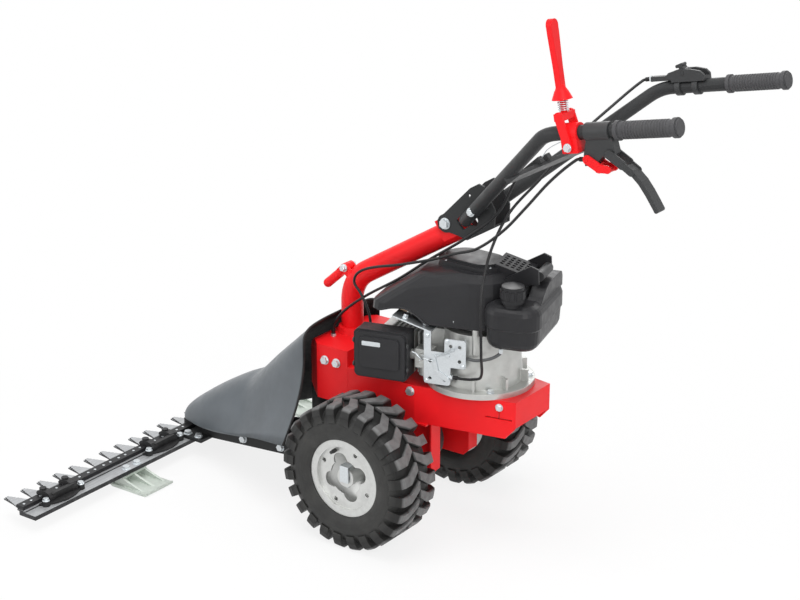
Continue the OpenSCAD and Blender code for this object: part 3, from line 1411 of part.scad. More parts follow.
// Control cables, each through points of its route on the machine
function turned(p, a) = [p[0] * cos(a) + p[2] * sin(a), p[1], p[2] * cos(a) - p[0] * sin(a)];
function on_knee(side, p) = [-knee_reach, side * grip_half, knee_z] + turned(p, grip_rise);
function on_cross(p) = [cross_mid[0], 0, cross_mid[2]] + turned(p, cross_dir);
function on_engine(p) = [p[0] * cos(engine_yaw) - p[1] * sin(engine_yaw) - engine_reach,
    p[0] * sin(engine_yaw) + p[1] * cos(engine_yaw), p[2] + frame_top];

function over_plate(x, y, rise) = [x, y, frame_top + rise];
clutch_route = [on_knee(1, [-83.2, 0, -51]), on_knee(1, [-76, 0, -51]), on_knee(1, [-60, 0, -52]),
    over_plate(-463, 207, 544), over_plate(-396, 184, 474), over_plate(-322, 150, 403),
        over_plate(-234, 112, 338),
    over_plate(-166, 92, 309), over_plate(-108, 80, 283), over_plate(-8, 68, 247), over_plate(78, 60, 220),
    over_plate(112, 58, 200), over_plate(120, 58, 178), over_plate(100, 60, 156), over_plate(76, 62, 110),
    over_plate(72, 62, 60), over_plate(72, 62, 16), over_plate(72, 62, 0.3)];
blade_route = [on_cross([26.7, 70, -6]), on_cross([34, 70, -6]), on_cross([50, 70, -6]),
    over_plate(-258, 68, 410), over_plate(-186, 66, 345), over_plate(-80, 62, 270), over_plate(0, 58, 211),
    over_plate(91, 54, 152), over_plate(152, 52, 104), over_plate(182, 52, 66), over_plate(184, 52, 50),
    [184, 52, case_top + 0.3]];
throttle_route = [on_knee(-1, [16.8, 0, handle_r + 6]), on_knee(-1, [24, 0, handle_r + 6]),
    on_knee(-1, [38, 3, handle_r + 4]), over_plate(-385, -160, 605), over_plate(-340, -95, 543),
    over_plate(-300, -20, 465), over_plate(-262, 30, 402), over_plate(-254, 82, 340),
        over_plate(-262, 126, 280),
    over_plate(-270, 146, 230), over_plate(-276, 154, 170), over_plate(-276, 152, 128),
    on_engine([-44, 132, 62]), on_engine([-18, 114, 46]), on_engine([6, 102, 39]), on_engine([22, 99.5, 38]),
    on_engine([33.7, 99.5, 38])];
module clutch_cable() color("#18191a") at_axle() swept_tube(route(clutch_route, 6), cable_r, 8, [0, 1, 0.2]);
module blade_cable() color("#18191a") at_axle() swept_tube(route(blade_route, 6), cable_r, 8, [0, 1, 0.2]);
module throttle_cable() color("#18191a") at_axle()
    swept_tube(route(throttle_route, 6), cable_r, 8, [1, 0.1, 0.3]);

// Shows a node when it is the chosen one, or when all are
module pick(name) {
    children();
}

pick("chassis_frame") chassis_frame();
pick("axle_bracket") axle_bracket();
pick("front_case") front_case();
pick("column_tube") column_tube();
pick("front_beam") front_beam();
pick("cutter_bar") cutter_bar();
pick("lower_comb") lower_comb();
pick("knife_clamps") knife_clamps();
pick("skids") skids();
pick("hood") hood();
pick("axle_gearbox") axle_gearbox();
pick("gearbox_cover") gearbox_cover();
pick("shaft_bearings") shaft_bearings();
pick("drive_belts") drive_belts();
pick("engine_crankcase") engine_crankcase();
pick("engine_cylinder") engine_cylinder();
pick("muffler") muffler();
pick("carburettor") carburettor();
pick("air_filter_base") air_filter_base();
pick("air_filter_cover") air_filter_cover();
pick("engine_shroud") engine_shroud();
pick("fuel_tank") fuel_tank();
pick("control_bracket") control_bracket();
pick("fuel_hose") fuel_hose();
pick("frame_bolts") frame_bolts();
pick("clutch_cable") clutch_cable();
pick("blade_cable") blade_cable();
pick("throttle_cable") throttle_cable();
pick("axle_shaft") axle_shaft();
pick("worm_wheel") worm_wheel();
pick("rims") rims();
pick("tyres") tyres();
pick("wheel_pins") wheel_pins();
pick("worm_shaft") worm_shaft();
pick("worm_pulley") worm_pulley();
pick("blade_spindle") blade_spindle();
pick("blade_pulley") blade_pulley();
pick("crankshaft") crankshaft();
pick("drive_pulley") drive_pulley();
pick("flywheel") flywheel();
pick("rocker_arm") rocker_arm();
pick("knife_back") knife_back();
pick("knife_sections") knife_sections();
pick("handle_bracket") handle_bracket();
pick("handle_tubes") handle_tubes();
pick("cross_plate") cross_plate();
pick("grips") grips();
pick("lever_clamp") lever_clamp();
pick("clutch_mount") clutch_mount();
pick("throttle_body") throttle_body();
pick("handlebar_bolts") handlebar_bolts();
pick("blade_lever") blade_lever();
pick("lever_spring") lever_spring();
pick("clutch_lever") clutch_lever();
pick("safety_catch") safety_catch();
pick("throttle_lever") throttle_lever();
pick("governor_arm") governor_arm();
pick("fuel_cap") fuel_cap();
pick("starter_grip") starter_grip();
pick("column_lever") column_lever();
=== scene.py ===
"""Looks of a walk-behind sickle bar mower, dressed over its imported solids."""
import json
import math

import bmesh
import bpy
from mathutils import Matrix, Vector


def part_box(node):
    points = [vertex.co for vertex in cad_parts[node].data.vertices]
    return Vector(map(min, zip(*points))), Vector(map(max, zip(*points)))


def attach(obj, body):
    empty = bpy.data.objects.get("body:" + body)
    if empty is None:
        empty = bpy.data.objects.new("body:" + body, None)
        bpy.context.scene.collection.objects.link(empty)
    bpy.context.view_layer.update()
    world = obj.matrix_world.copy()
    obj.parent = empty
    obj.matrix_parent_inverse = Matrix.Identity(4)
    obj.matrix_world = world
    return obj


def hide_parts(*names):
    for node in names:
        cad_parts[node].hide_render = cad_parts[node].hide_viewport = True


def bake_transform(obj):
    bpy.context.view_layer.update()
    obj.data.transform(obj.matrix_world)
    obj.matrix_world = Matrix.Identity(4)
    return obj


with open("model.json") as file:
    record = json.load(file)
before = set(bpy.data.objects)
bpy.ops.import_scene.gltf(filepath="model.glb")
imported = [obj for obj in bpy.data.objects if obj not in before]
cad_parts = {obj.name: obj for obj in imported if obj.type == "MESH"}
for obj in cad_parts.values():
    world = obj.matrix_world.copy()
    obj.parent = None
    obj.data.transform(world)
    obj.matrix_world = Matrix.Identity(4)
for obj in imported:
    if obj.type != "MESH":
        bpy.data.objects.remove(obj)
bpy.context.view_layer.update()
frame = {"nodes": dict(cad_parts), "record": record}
NODES = frame["nodes"]

MM = 1000  # millimetres in a metre

# Places on the machine, in millimetres from the ground under the axle
AXLE_X = 15
ENGINE_X, ENGINE_Z, ENGINE_YAW = -176, 350, math.radians(15)
HINGE = Vector((-100.85, 0, 697.08))
TUBE_LOW = HINGE + Vector((-79, 48, 41))
KNEE = Vector((-460, 225, TUBE_LOW.z + 252))
GRIP_RISE = math.atan2(55, 278)
CROSS = TUBE_LOW + (KNEE - TUBE_LOW) * 0.55
CROSS_LEAN = math.atan2(KNEE.z - TUBE_LOW.z, TUBE_LOW.x - KNEE.x)
WHEEL_R = 165
PLATE_TOP, CASE_TOP = 350, 387


def row(point):
    """A place in millimetres from the axle's foot, in metres of the shared frame."""
    return Vector((point[0] + AXLE_X, point[1], point[2])) / MM


def dipped(point, angle):
    """A point turned about Y, as the sloping tubes are."""
    x, y, z = point
    c, s = math.cos(angle), math.sin(angle)
    return Vector((x * c + z * s, y, z * c - x * s))


def on_knee(side, point):
    return Vector((KNEE.x, side * KNEE.y, KNEE.z)) + dipped(point, GRIP_RISE)


def on_cross(point):
    return Vector((CROSS.x, 0, CROSS.z)) + dipped(point, CROSS_LEAN)


def on_engine(point):
    x, y, z = point
    c, s = math.cos(ENGINE_YAW), math.sin(ENGINE_YAW)
    return Vector((x * c - y * s + ENGINE_X, x * s + y * c, z + ENGINE_Z))


def over_plate(x, y, rise):
    return Vector((x, y, PLATE_TOP + rise))


def turned(direction):
    """A direction of the engine, which sits at an angle on the plate."""
    return Matrix.Rotation(ENGINE_YAW, 3, "Z") @ Vector(direction)


# Materials


def linear(red, green, blue):
    """An 0-255 display colour as the shader's linear colour."""
    def one(v):
        v /= 255
        return v / 12.92 if v <= 0.04045 else ((v + 0.055) / 1.055) ** 2.4
    return (one(red), one(green), one(blue), 1)


# The colour sockets of a Mix node share their names with its other types, so they go by number
COLOUR_A, COLOUR_B, COLOUR_OUT = 6, 7, 2
BEVEL_SAMPLES = 4


class Finish:
    """A material under construction: its nodes, its Object coordinates and its shader."""

    def __init__(self, name):
        self.material = bpy.data.materials.new(name)
        self.material.use_nodes = True
        self.tree = self.material.node_tree
        self.tree.nodes.clear()
        self.place = self.node("ShaderNodeTexCoord").outputs
        self.shader = self.node("ShaderNodeBsdfPrincipled")
        out = self.node("ShaderNodeOutputMaterial")
        self.link(self.shader.outputs["BSDF"], out.inputs["Surface"])

    def node(self, kind, values=None, **settings):
        made = self.tree.nodes.new(kind)
        for name, value in settings.items():
            setattr(made, name, value)
        for name, value in (values or {}).items():
            self.give(made.inputs[name], value)
        return made

    def link(self, source, target):
        self.tree.links.new(source, target)

    def give(self, socket, value):
        if isinstance(value, bpy.types.NodeSocket):
            self.link(value, socket)
        else:
            socket.default_value = value

    def set(self, **values):
        for name, value in values.items():
            self.give(self.shader.inputs[name.replace("_", " ")], value)

    def stretched(self, scale):
        return self.node("ShaderNodeMapping", {"Vector": self.place["Object"], "Scale": scale}).outputs["Vector"]

    def noise(self, scale, detail=3, rough=0.55, along=None):
        values = {"Vector": along or self.place["Object"], "Scale": scale, "Detail": detail, "Roughness": rough}
        return self.node("ShaderNodeTexNoise", values).outputs["Fac"]

    def cells(self, scale):
        return self.node("ShaderNodeTexVoronoi", {"Vector": self.place["Object"], "Scale": scale}).outputs

    def ranged(self, fac, low, high, to_low=0.0, to_high=1.0):
        values = {"Value": fac, "From Min": low, "From Max": high, "To Min": to_low, "To Max": to_high}
        return self.node("ShaderNodeMapRange", values).outputs["Result"]

    def math(self, operation, a, b):
        made = self.node("ShaderNodeMath", operation=operation)
        self.give(made.inputs[0], a)
        self.give(made.inputs[1], b)
        return made.outputs[0]

    def mix(self, fac, a, b):
        made = self.node("ShaderNodeMix", data_type="RGBA")
        self.give(made.inputs["Factor"], fac)
        self.give(made.inputs[COLOUR_A], a)
        self.give(made.inputs[COLOUR_B], b)
        return made.outputs[COLOUR_OUT]

    def rounded(self, radius):
        """The surface normal with sharp edges eased over a small radius."""
        return self.node("ShaderNodeBevel", {"Radius": radius}, samples=BEVEL_SAMPLES).outputs["Normal"]

    def edges(self, soft, low, high):
        """A mask that is 1 where the eased normal leaves the true one, along edges."""
        true = self.node("ShaderNodeNewGeometry").outputs["Normal"]
        dot = self.node("ShaderNodeVectorMath", operation="DOT_PRODUCT")
        self.link(true, dot.inputs[0])
        self.link(soft, dot.inputs[1])
        return self.ranged(dot.outputs["Value"], 1 - low, 1 - high)

    def upward(self, low, high):
        """A mask of the faces that look up."""
        parts = self.node("ShaderNodeSeparateXYZ", {"Vector": self.place["Normal"]})
        return self.ranged(parts.outputs["Z"], low, high)

    def uneven(self, low, high, scale, detail=4, full=0.7):
        """Roughness that wanders between two values."""
        self.set(Roughness=self.ranged(self.noise(scale, detail), 0.3, full, low, high))

    def bump(self, height, strength, distance, normal):
        values = {"Height": height, "Strength": strength, "Distance": distance, "Normal": normal}
        self.set(Normal=self.node("ShaderNodeBump", values).outputs["Normal"])


def shade(colour, share):
    return (colour[0] * share, colour[1] * share, colour[2] * share, 1)


def paint(name, colour, rough, peel, chip, gloss):
    """Powder-coated or sprayed steel: orange peel, uneven gloss and a few rubbed edges."""
    f = Finish(name)
    soft = f.rounded(0.0012)
    cloud = f.ranged(f.noise(7, 4), 0.3, 0.7)
    base = f.mix(cloud, shade(colour, 0.93), shade(colour, 1.05))
    wear_and_highlight = f.math("MULTIPLY", f.edges(soft, 0.06, 0.4), f.ranged(f.noise(90, 5), 0.62, 0.72))
    base = f.mix(f.math("MULTIPLY", wear_and_highlight, 0.35), base, chip)
    f.set(Base_Color=base, Specular_IOR_Level=gloss)
    f.uneven(rough - 0.05, rough + 0.07, 38)
    f.bump(f.noise(420, 2), peel, 0.0004, soft)
    return f.material


def plastic(name, colour, rough, grain, haze, gloss, ease):
    """Moulded plastic: a fine grain, scuffed highlights and a film of dust; an ease of 0 leaves edges alone."""
    f = Finish(name)
    soft = f.rounded(ease) if ease else f.node("ShaderNodeNewGeometry").outputs["Normal"]
    cloud = f.ranged(f.noise(11, 4), 0.35, 0.7)
    base = f.mix(cloud, shade(colour, 0.9), shade(colour, 1.08))
    dust = f.math("MULTIPLY", f.upward(0.55, 1.0), f.ranged(f.noise(26, 6), 0.42, 0.75, 0.0, haze))
    base = f.mix(dust, base, linear(150, 150, 148))
    f.set(Base_Color=base, Specular_IOR_Level=gloss)
    f.uneven(rough - 0.06, rough + 0.1, 60, detail=5, full=0.75)
    f.bump(f.noise(900, 3, 0.7), grain, 0.0003, soft)
    return f.material


EASE = 0.0016  # radius of moulded edges
TOWER, TOWER_REACH = (-76, 0, 272), (0.05, 0.085)


def engine_cover(name, colour, rough, gloss, tower_gloss):
    """Glossy moulded covers, with a duller skin on the vented tower."""
    f = Finish(name)
    soft = f.rounded(EASE)
    base = f.mix(f.ranged(f.noise(11, 4), 0.35, 0.7), shade(colour, 0.9), shade(colour, 1.08))
    values = {0: f.place["Object"], 1: row(on_engine(TOWER))}
    away = f.node("ShaderNodeVectorMath", values, operation="DISTANCE").outputs["Value"]
    f.set(Base_Color=base, Specular_IOR_Level=f.ranged(away, *TOWER_REACH, tower_gloss, gloss))
    f.uneven(rough - 0.06, rough + 0.1, 60, detail=5, full=0.75)
    f.bump(f.noise(900, 3, 0.7), 0.12, 0.0003, soft)
    return f.material


def rubber(name, colour, rough, grain, bloom):
    """Rubber: a matt skin with a grey bloom in patches and a fine pitted surface."""
    f = Finish(name)
    soft = f.rounded(EASE)
    patch = f.ranged(f.noise(18, 6, 0.65), 0.42, 0.72, 0.0, bloom)
    base = f.mix(patch, colour, linear(96, 95, 92))
    f.set(Base_Color=base, Specular_IOR_Level=0.3)
    f.uneven(rough - 0.05, rough + 0.1, 75)
    f.bump(f.noise(620, 4, 0.7), grain, 0.0005, soft)
    return f.material


# Radii of the tyre, in metres
SHOULDER_R, TREAD_R, LUG_R, LUG_TOP_R = 0.132, 0.146, 0.158, 0.1625


def tyre_skin(name, colour, wear_and_highlight):
    """Tyre rubber: a smooth sidewall, a tread darkened by painted shade, lug tops lightened by a painted highlight
    and a pitted skin.
    """
    f = Finish(name)
    soft = f.rounded(0.002)
    parts = f.node("ShaderNodeSeparateXYZ", {"Vector": f.place["Object"]}).outputs
    across = f.math("SUBTRACT", parts["X"], AXLE_X / MM)
    rise = f.math("SUBTRACT", parts["Z"], WHEEL_R / MM)
    squares = f.math("ADD", f.math("MULTIPLY", across, across), f.math("MULTIPLY", rise, rise))
    radius = f.math("SQRT", squares, 0.0)
    dust = f.ranged(f.noise(20, 6, 0.65), 0.4, 0.75, 0.0, 0.25)
    base = f.mix(dust, colour, linear(88, 87, 84))
    # Painted shade: past the shoulder the whole tread is darkened to half, standing in for the shade between the
    # lugs
    base = f.mix(f.ranged(radius, SHOULDER_R, TREAD_R), base, shade(colour, 0.5))
    # Painted highlight: the lug tops are lightened towards a pale grey, with rubbed as its patchy strength,
    # standing in for light off their flat faces
    rubbed = f.ranged(f.noise(60, 4), 0.25, 0.6, 0.5, 0.95)
    base = f.mix(f.math("MULTIPLY", f.ranged(radius, LUG_R, LUG_TOP_R), rubbed), base, wear_and_highlight)
    f.set(Base_Color=base, Specular_IOR_Level=0.35)
    f.uneven(0.42, 0.6, 75)
    f.bump(f.noise(420, 4, 0.7), 0.2, 0.0006, soft)
    return f.material


def steel(name, colour, rough, stretch, streak, stain):
    """Rolled, ground or turned steel: fine lines along one way and faint stains."""
    f = Finish(name)
    soft = f.rounded(0.0008)
    lines = f.noise(1, 5, 0.7, along=f.stretched(stretch))
    base = f.mix(f.ranged(lines, 0.3, 0.7), shade(colour, 1 - streak), shade(colour, 1 + streak))
    base = f.mix(f.ranged(f.noise(24, 6, 0.65), 0.56, 0.78, 0.0, 0.5), base, stain)
    base = f.mix(f.math("MULTIPLY", f.edges(soft, 0.03, 0.25), 0.4), base, shade(colour, 1.5))
    f.set(Base_Color=base, Metallic=1.0)
    f.uneven(rough - 0.06, rough + 0.1, 90)
    f.bump(lines, 0.25, 0.0002, soft)
    return f.material


def casting(name, colour, rough, metal, pit, patch):
    """A sand or pressure casting: pitted skin, cloudy tone and paler rubbed edges."""
    f = Finish(name)
    soft = f.rounded(0.0008)
    cloud = f.ranged(f.noise(30, 6, 0.65), 0.3, 0.72)
    base = f.mix(cloud, shade(colour, 1 - patch), shade(colour, 1 + patch))
    base = f.mix(f.math("MULTIPLY", f.edges(soft, 0.03, 0.3), 0.45), base, shade(colour, 1.7))
    f.set(Base_Color=base, Metallic=metal)
    f.uneven(rough - 0.08, rough + 0.1, 120)
    f.bump(f.noise(260, 5, 0.7), pit, 0.0008, soft)
    return f.material


def galvanised(name, colour, rough, spangle):
    """Zinc-dipped steel: crystal spangle that shifts the tone from grain to grain."""
    f = Finish(name)
    soft = f.rounded(0.001)
    grain = f.cells(spangle)
    tone = f.node("ShaderNodeSeparateColor", {"Color": grain["Color"]}).outputs["Red"]
    base = f.mix(f.ranged(tone, 0.0, 1.0), shade(colour, 0.95), shade(colour, 1.04))
    base = f.mix(f.ranged(f.noise(22, 6), 0.55, 0.8, 0.0, 0.3), base, linear(160, 162, 160))
    f.set(Base_Color=base, Metallic=0.85, Roughness=f.ranged(tone, 0.0, 1.0, rough - 0.04, rough + 0.05))
    f.bump(f.noise(220, 3), 0.02, 0.0003, soft)
    return f.material


def bar_plate(name):
    """The cutter bar: paler grey on faces that look up and darker on its sides."""
    f = Finish(name)
    soft = f.rounded(0.0009)
    lines = f.noise(1, 5, 0.7, along=f.stretched((320, 14, 320)))
    top = f.mix(f.ranged(lines, 0.3, 0.72), linear(160, 162, 164), linear(202, 204, 206))
    side = f.mix(f.ranged(f.noise(60, 5), 0.35, 0.7), linear(38, 38, 40), linear(66, 66, 68))
    # Paler grey where the faces look up, darker where they look sideways or down
    base = f.mix(f.upward(0.6, 0.9), side, top)
    base = f.mix(f.ranged(f.noise(30, 6, 0.7), 0.58, 0.8, 0.0, 0.4), base, linear(92, 86, 80))
    f.set(Base_Color=base, Metallic=0.4)
    f.uneven(0.38, 0.55, 70)
    f.bump(lines, 0.2, 0.0003, soft)
    return f.material


def scorched(name):
    """The silencer: thin steel with heat tints and soot."""
    f = Finish(name)
    soft = f.rounded(0.002)
    heat = f.ranged(f.noise(14, 5), 0.3, 0.7)
    base = f.mix(heat, linear(118, 112, 106), linear(150, 128, 96))
    base = f.mix(f.ranged(f.noise(40, 6), 0.5, 0.8, 0.0, 0.6), base, linear(58, 54, 52))
    f.set(Base_Color=base, Metallic=0.8)
    f.uneven(0.38, 0.6, 90)
    f.bump(f.noise(210, 4), 0.2, 0.0006, soft)
    return f.material


FINISHES = {
    "red_paint": paint(
        "red_enamel", linear(248, 30, 36), rough=0.36, peel=0.06, chip=linear(150, 40, 40), gloss=0.2),
    "black_paint": paint(
        "black_powder_coat", linear(48, 49, 50), rough=0.44, peel=0.3, chip=linear(96, 96, 98), gloss=0.25),
    "bar_steel": bar_plate("cutter_bar_steel"),
    "knife_black": paint(
        "blackened_knife_back", linear(34, 34, 36), rough=0.45, peel=0.2, chip=linear(120, 120, 122), gloss=0.3),
    "clamp_iron": casting("black_hold_down_iron", linear(34, 34, 35), rough=0.5, metal=0.2, pit=0.5, patch=0.25),
    "skid_iron": casting("skid_casting", linear(206, 214, 206), rough=0.5, metal=0.35, pit=0.5, patch=0.14),
    "hood_grey": plastic(
        "hood_polythene", linear(96, 102, 107), rough=0.36, grain=0.02, haze=0.04, gloss=0.36, ease=0),
    "gear_iron": casting("gearbox_iron", linear(74, 76, 78), rough=0.5, metal=0.5, pit=0.5, patch=0.2),
    "shaft_steel": steel(
        "turned_steel", linear(168, 170, 172), rough=0.36, stretch=(20, 20, 900), streak=0.12,
        stain=linear(120, 112, 102)),
    "worm_bronze": steel(
        "worm_wheel_bronze", linear(190, 146, 84), rough=0.36, stretch=(300, 300, 300), streak=0.1,
        stain=linear(120, 92, 52)),
    "belt_rubber": rubber("drive_belt_rubber", linear(28, 28, 29), rough=0.7, grain=0.4, bloom=0.3),
    "engine_alloy": casting(
        "pressure_cast_alloy", linear(194, 195, 192), rough=0.38, metal=0.6, pit=0.05, patch=0.14),
    "muffler_steel": scorched("heat_tinted_steel"),
    "engine_black": engine_cover(
        "engine_cover_plastic", linear(46, 46, 48), rough=0.34, gloss=0.22, tower_gloss=0.05),
    "control_black": plastic(
        "control_plastic", linear(58, 59, 60), rough=0.42, grain=0.3, haze=0.05, gloss=0.3, ease=EASE),
    "zinc": galvanised("bright_zinc", linear(212, 217, 220), rough=0.34, spangle=420),
    "rim_steel": galvanised("rim_galvanising", linear(208, 209, 207), rough=0.38, spangle=150),
    # The tyre's pale grey is the painted highlight on the lug tops
    "tyre_rubber": tyre_skin("tyre_rubber", linear(45, 45, 44), wear_and_highlight=linear(116, 116, 116)),
    "grip_rubber": rubber("grip_rubber", linear(74, 74, 76), rough=0.55, grain=0.4, bloom=0.12),
    "cable_black": rubber("cable_sheath", linear(24, 24, 26), rough=0.36, grain=0.1, bloom=0.05),
    "hose_grey": rubber("fuel_hose_rubber", linear(92, 94, 95), rough=0.5, grain=0.2, bloom=0.2),
}
SLOT_OF = {part["node"]: part["material_slot"] for part in frame["record"]["subparts"]}
for node_name, node in NODES.items():
    node.data.materials.clear()
    node.data.materials.append(FINISHES[SLOT_OF[node_name]])


# Geometry node trees for what repeats or follows a path

GEOMETRY, FLOAT, WHOLE = "NodeSocketGeometry", "NodeSocketFloat", "NodeSocketInt"


class Pattern:
    """A geometry node tree with named sizes, ending in Realize Instances and Set Material."""

    def __init__(self, name, **sizes):
        self.tree = bpy.data.node_groups.new(name, "GeometryNodeTree")
        face = self.tree.interface
        face.new_socket(name="Geometry", in_out="INPUT", socket_type=GEOMETRY)
        face.new_socket(name="Geometry", in_out="OUTPUT", socket_type=GEOMETRY)
        self.keys = {}
        for label, value in sizes.items():
            kind = WHOLE if isinstance(value, int) else FLOAT
            socket = face.new_socket(name=label, in_out="INPUT", socket_type=kind)
            socket.default_value = value
            self.keys[label] = socket.identifier
        socket = face.new_socket(name="Material", in_out="INPUT", socket_type="NodeSocketMaterial")
        self.keys["Material"] = socket.identifier
        self.size = self.node("NodeGroupInput").outputs

    def node(self, kind, values=None, **settings):
        made = self.tree.nodes.new(kind)
        for name, value in settings.items():
            setattr(made, name, value)
        for name, value in (values or {}).items():
            if isinstance(value, bpy.types.NodeSocket):
                self.tree.links.new(value, made.inputs[name])
            else:
                made.inputs[name].default_value = value
        return made

    def math(self, operation, a, b):
        return self.node("ShaderNodeMath", {0: a, 1: b}, operation=operation).outputs[0]

    def lifted(self, geometry, z):
        lift = self.node("ShaderNodeCombineXYZ", {"Z": z}).outputs[0]
        return self.node("GeometryNodeTransform", {"Geometry": geometry, "Translation": lift}).outputs["Geometry"]

    def cone(self, sides, top, bottom, depth):
        values = {"Vertices": sides, "Radius Top": top, "Radius Bottom": bottom, "Depth": depth}
        return self.node("GeometryNodeMeshCone", values).outputs["Mesh"]

    def joined(self, *geometries):
        made = self.node("GeometryNodeJoinGeometry")
        for geometry in geometries:
            self.tree.links.new(geometry, made.inputs["Geometry"])
        return made.outputs["Geometry"]

    def on_points(self, instance):
        """The instance on each point, its Z along the point's own facing."""
        facing = self.node("GeometryNodeInputNamedAttribute", {"Name": "facing"}, data_type="FLOAT_VECTOR")
        turn = self.node("FunctionNodeAlignRotationToVector", {"Vector": facing.outputs["Attribute"]}, axis="Z")
        values = {"Points": self.size["Geometry"], "Instance": instance, "Rotation": turn.outputs["Rotation"]}
        return self.node("GeometryNodeInstanceOnPoints", values).outputs["Instances"]

    def end(self, geometry, smooth=False):
        whole = self.node("GeometryNodeRealizeInstances", {"Geometry": geometry}).outputs["Geometry"]
        values = {"Geometry": whole, "Shade Smooth": smooth}
        whole = self.node("GeometryNodeSetShadeSmooth", values).outputs["Geometry"]
        whole = self.node("GeometryNodeSetMaterial", {"Geometry": whole, "Material": self.size["Material"]})
        self.node("NodeGroupOutput", {"Geometry": whole.outputs["Geometry"]})
        return self


def swept_pattern():
    p = Pattern("tube_along_a_path", Radius=0.003, Sides=12)
    path = p.node("GeometryNodeMeshToCurve", {"Mesh": p.size["Geometry"]}).outputs["Curve"]
    ring = p.node("GeometryNodeCurvePrimitiveCircle", {"Resolution": p.size["Sides"], "Radius": p.size["Radius"]})
    values = {"Curve": path, "Profile Curve": ring.outputs["Curve"], "Fill Caps": True}
    return p.end(p.node("GeometryNodeCurveToMesh", values).outputs["Mesh"], smooth=True)


# Shares of a hexagon head: corner radius of its width, bevel of its height and taper of the bevel; then its washer
HEX_CORNER, HEX_BEVEL, HEX_TAPER = 0.577, 0.2, 0.84
WASHER_SIDES, WASHER_DEPTH, WASHER_TAPER = 20, 0.22, 0.95


def bolt_pattern():
    p = Pattern("hexagon_heads", Across=0.016, Height=0.006, Washer=0.0115)
    corner = p.math("MULTIPLY", p.size["Across"], HEX_CORNER)
    bevel = p.math("MULTIPLY", p.size["Height"], HEX_BEVEL)
    body = p.math("SUBTRACT", p.size["Height"], bevel)
    head = p.cone(6, corner, corner, body)
    top = p.cone(6, p.math("MULTIPLY", corner, HEX_TAPER), corner, bevel)
    washer = p.cone(WASHER_SIDES, p.math("MULTIPLY", p.size["Washer"], WASHER_TAPER), p.size["Washer"],
                    p.math("MULTIPLY", p.size["Height"], WASHER_DEPTH))
    return p.end(p.on_points(p.joined(head, p.lifted(top, body), washer)))


def dome_pattern():
    p = Pattern("round_heads", Radius=0.004, Flat=0.45)
    ball = p.node("GeometryNodeMeshUVSphere", {"Segments": 12, "Rings": 6, "Radius": p.size["Radius"]})
    flat = p.node("ShaderNodeCombineXYZ", {"X": 1.0, "Y": 1.0, "Z": p.size["Flat"]}).outputs[0]
    head = p.node("GeometryNodeTransform", {"Geometry": ball.outputs["Mesh"], "Scale": flat}).outputs["Geometry"]
    return p.end(p.on_points(head), smooth=True)


def coil_pattern():
    p = Pattern("wound_wire", Radius=0.0095, Height=0.02, Turns=5.0, Wire=0.0011)
    line = p.node("GeometryNodeCurveSpiral", {
        "Resolution": 24, "Rotations": p.size["Turns"], "Start Radius": p.size["Radius"],
        "End Radius": p.size["Radius"], "Height": p.size["Height"]}).outputs["Curve"]
    ring = p.node("GeometryNodeCurvePrimitiveCircle", {"Resolution": 8, "Radius": p.size["Wire"]})
    values = {"Curve": line, "Profile Curve": ring.outputs["Curve"], "Fill Caps": True}
    return p.end(p.node("GeometryNodeCurveToMesh", values).outputs["Mesh"], smooth=True)


SWEPT, BOLTS, DOMES, COIL = swept_pattern(), bolt_pattern(), dome_pattern(), coil_pattern()


def patterned(name, pattern, mesh, slot_name, **sizes):
    """A finished object from a pattern on a mesh of points or lines, as a plain mesh with no modifier."""
    piece = bpy.data.objects.new(name, mesh)
    bpy.context.scene.collection.objects.link(piece)
    modifier = piece.modifiers.new("pattern", "NODES")
    modifier.node_group = pattern.tree
    for label, value in sizes.items():
        modifier[pattern.keys[label]] = value
    modifier[pattern.keys["Material"]] = FINISHES[slot_name]
    seen = piece.evaluated_get(bpy.context.evaluated_depsgraph_get())
    made = bpy.data.meshes.new_from_object(seen)
    piece.modifiers.clear()
    piece.data = made
    made.name = name
    return piece


def polyline(*paths):
    """A mesh of lines, one for each path."""
    points, lines = [], []
    for path in paths:
        lines += [(i, i + 1) for i in range(len(points), len(points) + len(path) - 1)]
        points += path
    mesh = bpy.data.meshes.new("path")
    mesh.from_pydata(points, lines, [])
    return mesh


def heads_at(spots):
    """Points for a pattern of heads: (place, facing) pairs in metres."""
    mesh = bpy.data.meshes.new("heads")
    mesh.from_pydata([spot[0] for spot in spots], [], [])
    facing = mesh.attributes.new("facing", "FLOAT_VECTOR", "POINT")
    facing.data.foreach_set("vector", [value for spot in spots for value in spot[1]])
    return mesh


def glided(points, steps):
    """A smooth route through given points, the same curve that the solids follow."""
    def at(i):
        return points[min(max(i, 0), len(points) - 1)]
    found = []
    for i in range(len(points) - 1):
        b, c = at(i), at(i + 1)
        reach = (c - b).length
        leave, arrive = (c - at(i - 1)).normalized() * reach, (at(i + 2) - b).normalized() * reach
        for k in range(steps):
            t = k / steps
            found.append(b + leave * t + (3 * (c - b) - 2 * leave - arrive) * t ** 2
                         + (leave + arrive - 2 * (c - b)) * t ** 3)
    return found + [points[-1]]


# Control cables and the fuel hose, in place of their plain solids

